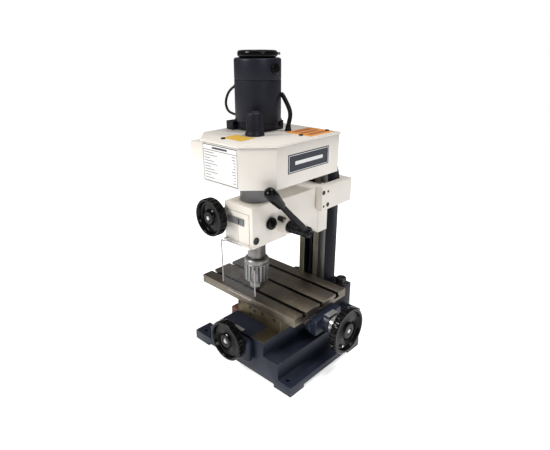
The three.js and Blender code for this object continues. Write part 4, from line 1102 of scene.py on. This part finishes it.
soft_tube("motor_lead", 0.6)
soft_tube("motor_loop_lead", 0.3)
grommet = [(3.5, 414.6), (5.8, 414.6), (5.8, 416.2), (4.8, 417.4), (4.4, 423), (3.5, 423)]
loop_gland = [(3.4, -69), (3.4, -75.5), (2.8, -77)]
glands = [
    turn(grommet, "Z", at(12, 75, 0), 48, 0.0005, hollow=True),
    turn([(4.2, -10), (4.2, -2.4), (3.6, -1)], "X", at(0, 76, 471), 40, 0.0005),
    turn(loop_gland, "X", at(0, 40, 484.5), 32),
    turn(loop_gland, "X", at(0, 40, 435.8), 32),
]
done(joined(glands), "lead_glands", RUBBER, "head")
print("two leads, with a gland at each end")

# %% Hidden drive
for node in ("motor_rotor", "motor_pulley", "spindle_pulley", "spindle", "quill_bearing"):
    casting(node, 0.0003, STEEL_Z)
casting("pinion_shaft", 0.0003, STEEL_X)
casting("feed_shaft", 0.0003, STEEL_Y)
print("shafts, pulleys, bearing and pinion")

# %% [markdown]
# ## Lever
# The three-way hub of a drilling machine is here a single tapering arm. The hub's cone and the arm
# are black, and the long knob is glossy. They lie along a line that leans forward and up, so they
# are turned on a tilted axis.

# %% Lever
lever_root = at(85, 39.4, 264)
lever_axis = at(0, 39.4, 264)
hub = [(0.6, 61), (6.4, 61), (6.4, 49.4), (10.5, 49.4), (10.2, 54), (9.8, 62), (9.4, 76), (9.4, 90)]
hub += [(8.3, 91.8), (0.6, 91.8)]
hub_piece = turn(hub, "X", lever_axis, 64, 0.0005, hollow=True)
bolt = turn([(5, 91), (5, 93.4), (4, 94)], "X", lever_axis, 32, 0.0002)
sink(bolt, lambda c, n: n.x > 0.9 and c.x > at(93.5, 0, 0).x, 0.0014, 0.0015)
stands_for(joined([hub_piece, bolt]), "lever_hub", SATIN_PLASTIC)
rod = [(4.4, 0.6), (4.4, 8), (6.6, 11), (6.3, 20), (4.9, 60), (4.5, 84), (4.5, 95)]
stands_for(turn(rod, "lever", lever_root, 48, 0.0004), "lever_rod", SATIN_PLASTIC)
knob = [(4.6, 96.4), (4.6, 84.5), (6.3, 84.5), (6.9, 86), (7.3, 92), (8.2, 100), (9.2, 108)]
knob += [(9.75, 115), (9.7, 119), (9.0, 123), (7.4, 126), (4.8, 127.7), (1.2, 128.2), (0.6, 128.2)]
stands_for(turn(knob, "lever", lever_root, 64, 0), "lever_knob", PLASTIC, 60)
boss = [(9.5, 32.4), (14.1, 32.4), (14.1, 48.2), (13.3, 49.1), (9.5, 49.1)]
boss_piece = turn(boss, "X", lever_axis, 64, hollow=True)
done(boss_piece, "lever_boss", CREAM, "head")
print("lever hub, arm, knob and boss")

# %% [markdown]
# ## Chuck and quill
# A drill chuck's sleeve has wide flutes for the hand. The sleeve's band has four faces to each of
# its 18 flutes, and two of the four are inset together. The quill, the chuck's body and its jaws
# are merged copies of their CAD pieces.

# %% Quill
casting("quill", 0.0003, QUILL_STEEL)
quill_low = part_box("quill")[0].z / MM
print("quill copied from CAD with its rack, which starts", round(quill_low), "mm up")

# %% Chuck sleeve and body
sleeve = [(15.5, 160.1), (18.8, 160.1), (20.6, 161.2), (21.6, 163), (21.6, 192.6), (20.8, 193.9)]
thread_recess = [(15.5, 193.9), (15.5, 188), (18.3, 186), (18.3, 165), (15.5, 163)]
sleeve_piece = turn(sleeve + thread_recess, "Z", bore, 72, 0, hollow=True)


def in_flute(c, n):
    """True for two faces in every four of the sleeve's outer band."""
    angle, distance = around(bore, "Z", c)
    return distance > 0.0213 and abs(n.z) < 0.1 and int(angle / math.tau * 72) % 4 < 2


sink(sleeve_piece, in_flute, 0.0004, 0.0011)
stands_for(rounded(sleeve_piece, 0.0003), "chuck_sleeve", CHUCK_STEEL)
# The floors of the flutes and the sleeve's lower end, which faces down, are painted blacked steel as
# painted shade.
in_floor = lambda c: 0.0195 < around(bore, "Z", c)[1] < 0.0213 and 0.1632 < c.z < 0.192
dress(sleeve_piece, BLACKED, lambda c, n: in_floor(c) or c.z < 0.1628)
casting("chuck_body", 0.0004, CHUCK_STEEL)
for number in (1, 2, 3):
    casting("chuck_jaw_" + str(number), 0.0003, BLACKED)
print("chuck with 18 flutes and three jaws")

# %% [markdown]
# ## Guard, lock and controls
# The guard is a bent clear sheet on a hinge rod. The quill lock is a small knob with a socket, and
# the control box on the left holds a rocker, a mushroom stop button and a speed knob.

# %% Guard
casting("guard", 0.0003, CLEAR, 1)
hinge = turn([(1.4, -31), (1.4, 31)], "X", at(0, -35.5, 240), 24, 0.0002)
done(hinge, "guard_rod", SILVER, "guard")
edge_left = plate(at(-40.3, -36.5, 192), at(-39.7, -34.5, 236.9), 0.0001, 1)
hook_top = plate(at(-40.3, -36.5, 236.4), at(-31, -34.5, 237.6), 0.0002, 1)
done(joined([edge_left, hook_top]), "guard_edge_strip", GREY, "guard")
sawn = [
    plate(at(-40.2, -36.5, 157.5), at(-39.7, -34.5, 192), 0.0001, 1),
    plate(at(39.7, -36.5, 157.5), at(40.2, -34.5, 205), 0.0001, 1),
    plate(at(-28.5, -36.5, 145.2), at(28.5, -34.5, 145.8), 0.0001, 1),
]
done(joined(sawn), "guard_sawn_edges", SAWN_EDGE, "guard")
print("guard with its rod and edge strips")

# %% Quill lock and controls
lock = [(0.6, 21.2), (4.9, 21.2), (4.9, 33.4), (10.4, 33.4), (10.4, 37.4), (9.6, 38.6), (5.4, 38.8)]
lock += [(5.2, 37.4), (0.6, 37.4)]
lock_axis = at(0, 9.7, 273.5)
lock_piece = turn(lock, "X", lock_axis, 60, 0, hollow=True)
sink(lock_piece, alternate(lock_axis, "X", 60, 0.0101, 0.1), 0.0001, 0.0005, each=True)
stands_for(rounded(lock_piece, 0.00015, 1), "quill_lock_knob", PLASTIC)
casting("control_box", 0.0009, CREAM)
casting("rocker_switch", 0.0008, GREEN)
stop_axis = at(0, 12, 380.5)
stop = [(0.6, -112.2), (4.9, -112.2), (4.9, -130), (12.6, -132.6), (12.9, -134), (12.4, -136.4)]
stop += [(9, -138.4), (4, -138.9), (0.6, -139)]
stands_for(turn(stop, "X", stop_axis, 64, 0), "stop_button", RED, 50)
speed_axis = at(0, 36, 380.5)
speed = [(0.6, -112.2), (2.9, -112.2), (2.9, -124.5), (9.9, -124.5), (9.9, -126.4), (8.9, -135.4)]
speed += [(8, -136), (0.6, -136)]
speed_piece = turn(speed, "X", speed_axis, 48, 0)
sink(speed_piece, alternate(speed_axis, "X", 48, 0.0086, 0.3), 0.0002, 0.0005, each=True)
stands_for(rounded(speed_piece, 0.0002, 1), "speed_knob", SATIN_PLASTIC)
pointer = plate(at(-136.3, 35.5, 380.5), at(-135.9, 36.5, 388.6), 0.0001, 1)
done(pointer, "speed_pointer", WHITE, "speed")
gland_axis = at(-102, 0, 380.5)
gland = [(0.6, 49.6), (8, 49.6), (8, 54), (6, 54.6), (6, 60), (4.4, 66), (2.2, 66), (2.2, 55), (0.6, 55)]
done(turn(gland, "Y", gland_axis, 48, 0.0004), "mains_gland", RUBBER, "head")
print("lock, control box, three controls and a mains gland")

# %% [markdown]
# ## Screws and small trim
# Socket screws hold the gibs, the yoke and the lid. One screw is turned and given its socket, then
# copied to each place with its own mesh.


# %% Screws
def socket_screw(radius, height, axis, outward, place):
    """A round head whose face has a socket. Outward is the way that the face looks."""
    letter = "XYZ".index(axis)
    face = outward * height
    head = turn([(radius, 0), (radius, face)], axis, place, 30, 0)
    sink(head, lambda c, n: n[letter] * outward > 0.9, radius * 0.45 * MM, height * 0.6 * MM)
    return rounded(head, 0.0002, 1)


gib = socket_screw(3.1, 0.8, "Y", -1, at(-10.7, 1.1, 98.6))
steps = [(31.1, 0, 0), (60.8, 0, 0), (0.7, 0, -13), (11.4, 0, -2.5), (-29.3, 0, 0)]
gibs = repeated(gib, steps)
done(gibs, "gib_screws", BLACKED, "saddle")
large = socket_screw(4.2, 0.5, "X", 1, at(48.4, 131.4, 301))
large = repeated(large, [(0, 12.8, -25)])
small = repeated(socket_screw(2.4, 0.5, "X", 1, at(48.4, 144.3, 301)), [(0, -11.9, -26)])
done(joined([large, small]), "yoke_screws", BLACKED, "head")
lid_screw = socket_screw(3.4, 2.2, "Z", 1, at(-14, -45, 414.6))
lid_screws = repeated(lid_screw, [(69, 102, 0), (74, 163, 0)])
done(lid_screws, "lid_screws", BLACKED, "head")
foot_screw = socket_screw(3, 3, "Z", 1, at(-63, 28, 429))
foot_screws = repeated(foot_screw, [(52, 0, 0), (0, 52, 0), (52, 52, 0)])
done(foot_screws, "motor_foot_screws", BLACKED, "head")
head_screw = socket_screw(6.2, 1.4, "X", 1, at(32.5, -23.8, 251.9))
boss_screw = socket_screw(4.8, 13, "X", 1, at(32.5, 31, 276.5))
done(joined([head_screw, boss_screw]), "head_side_screws", BLACKED, "head")
print("screws on the saddle, yoke, lid and motor")

# %% Index plates
index = plate(at(-15, -38.6, 76.1), at(9, -31.4, 76.55), 0.0001, 1)
done(index, "front_index_plate", SILVER, "frame")
index = plate(at(112.5, 62, 108.3), at(124, 86, 108.8), 0.0001, 1)
done(index, "side_index_plate", SILVER, "table")
print("two index plates")
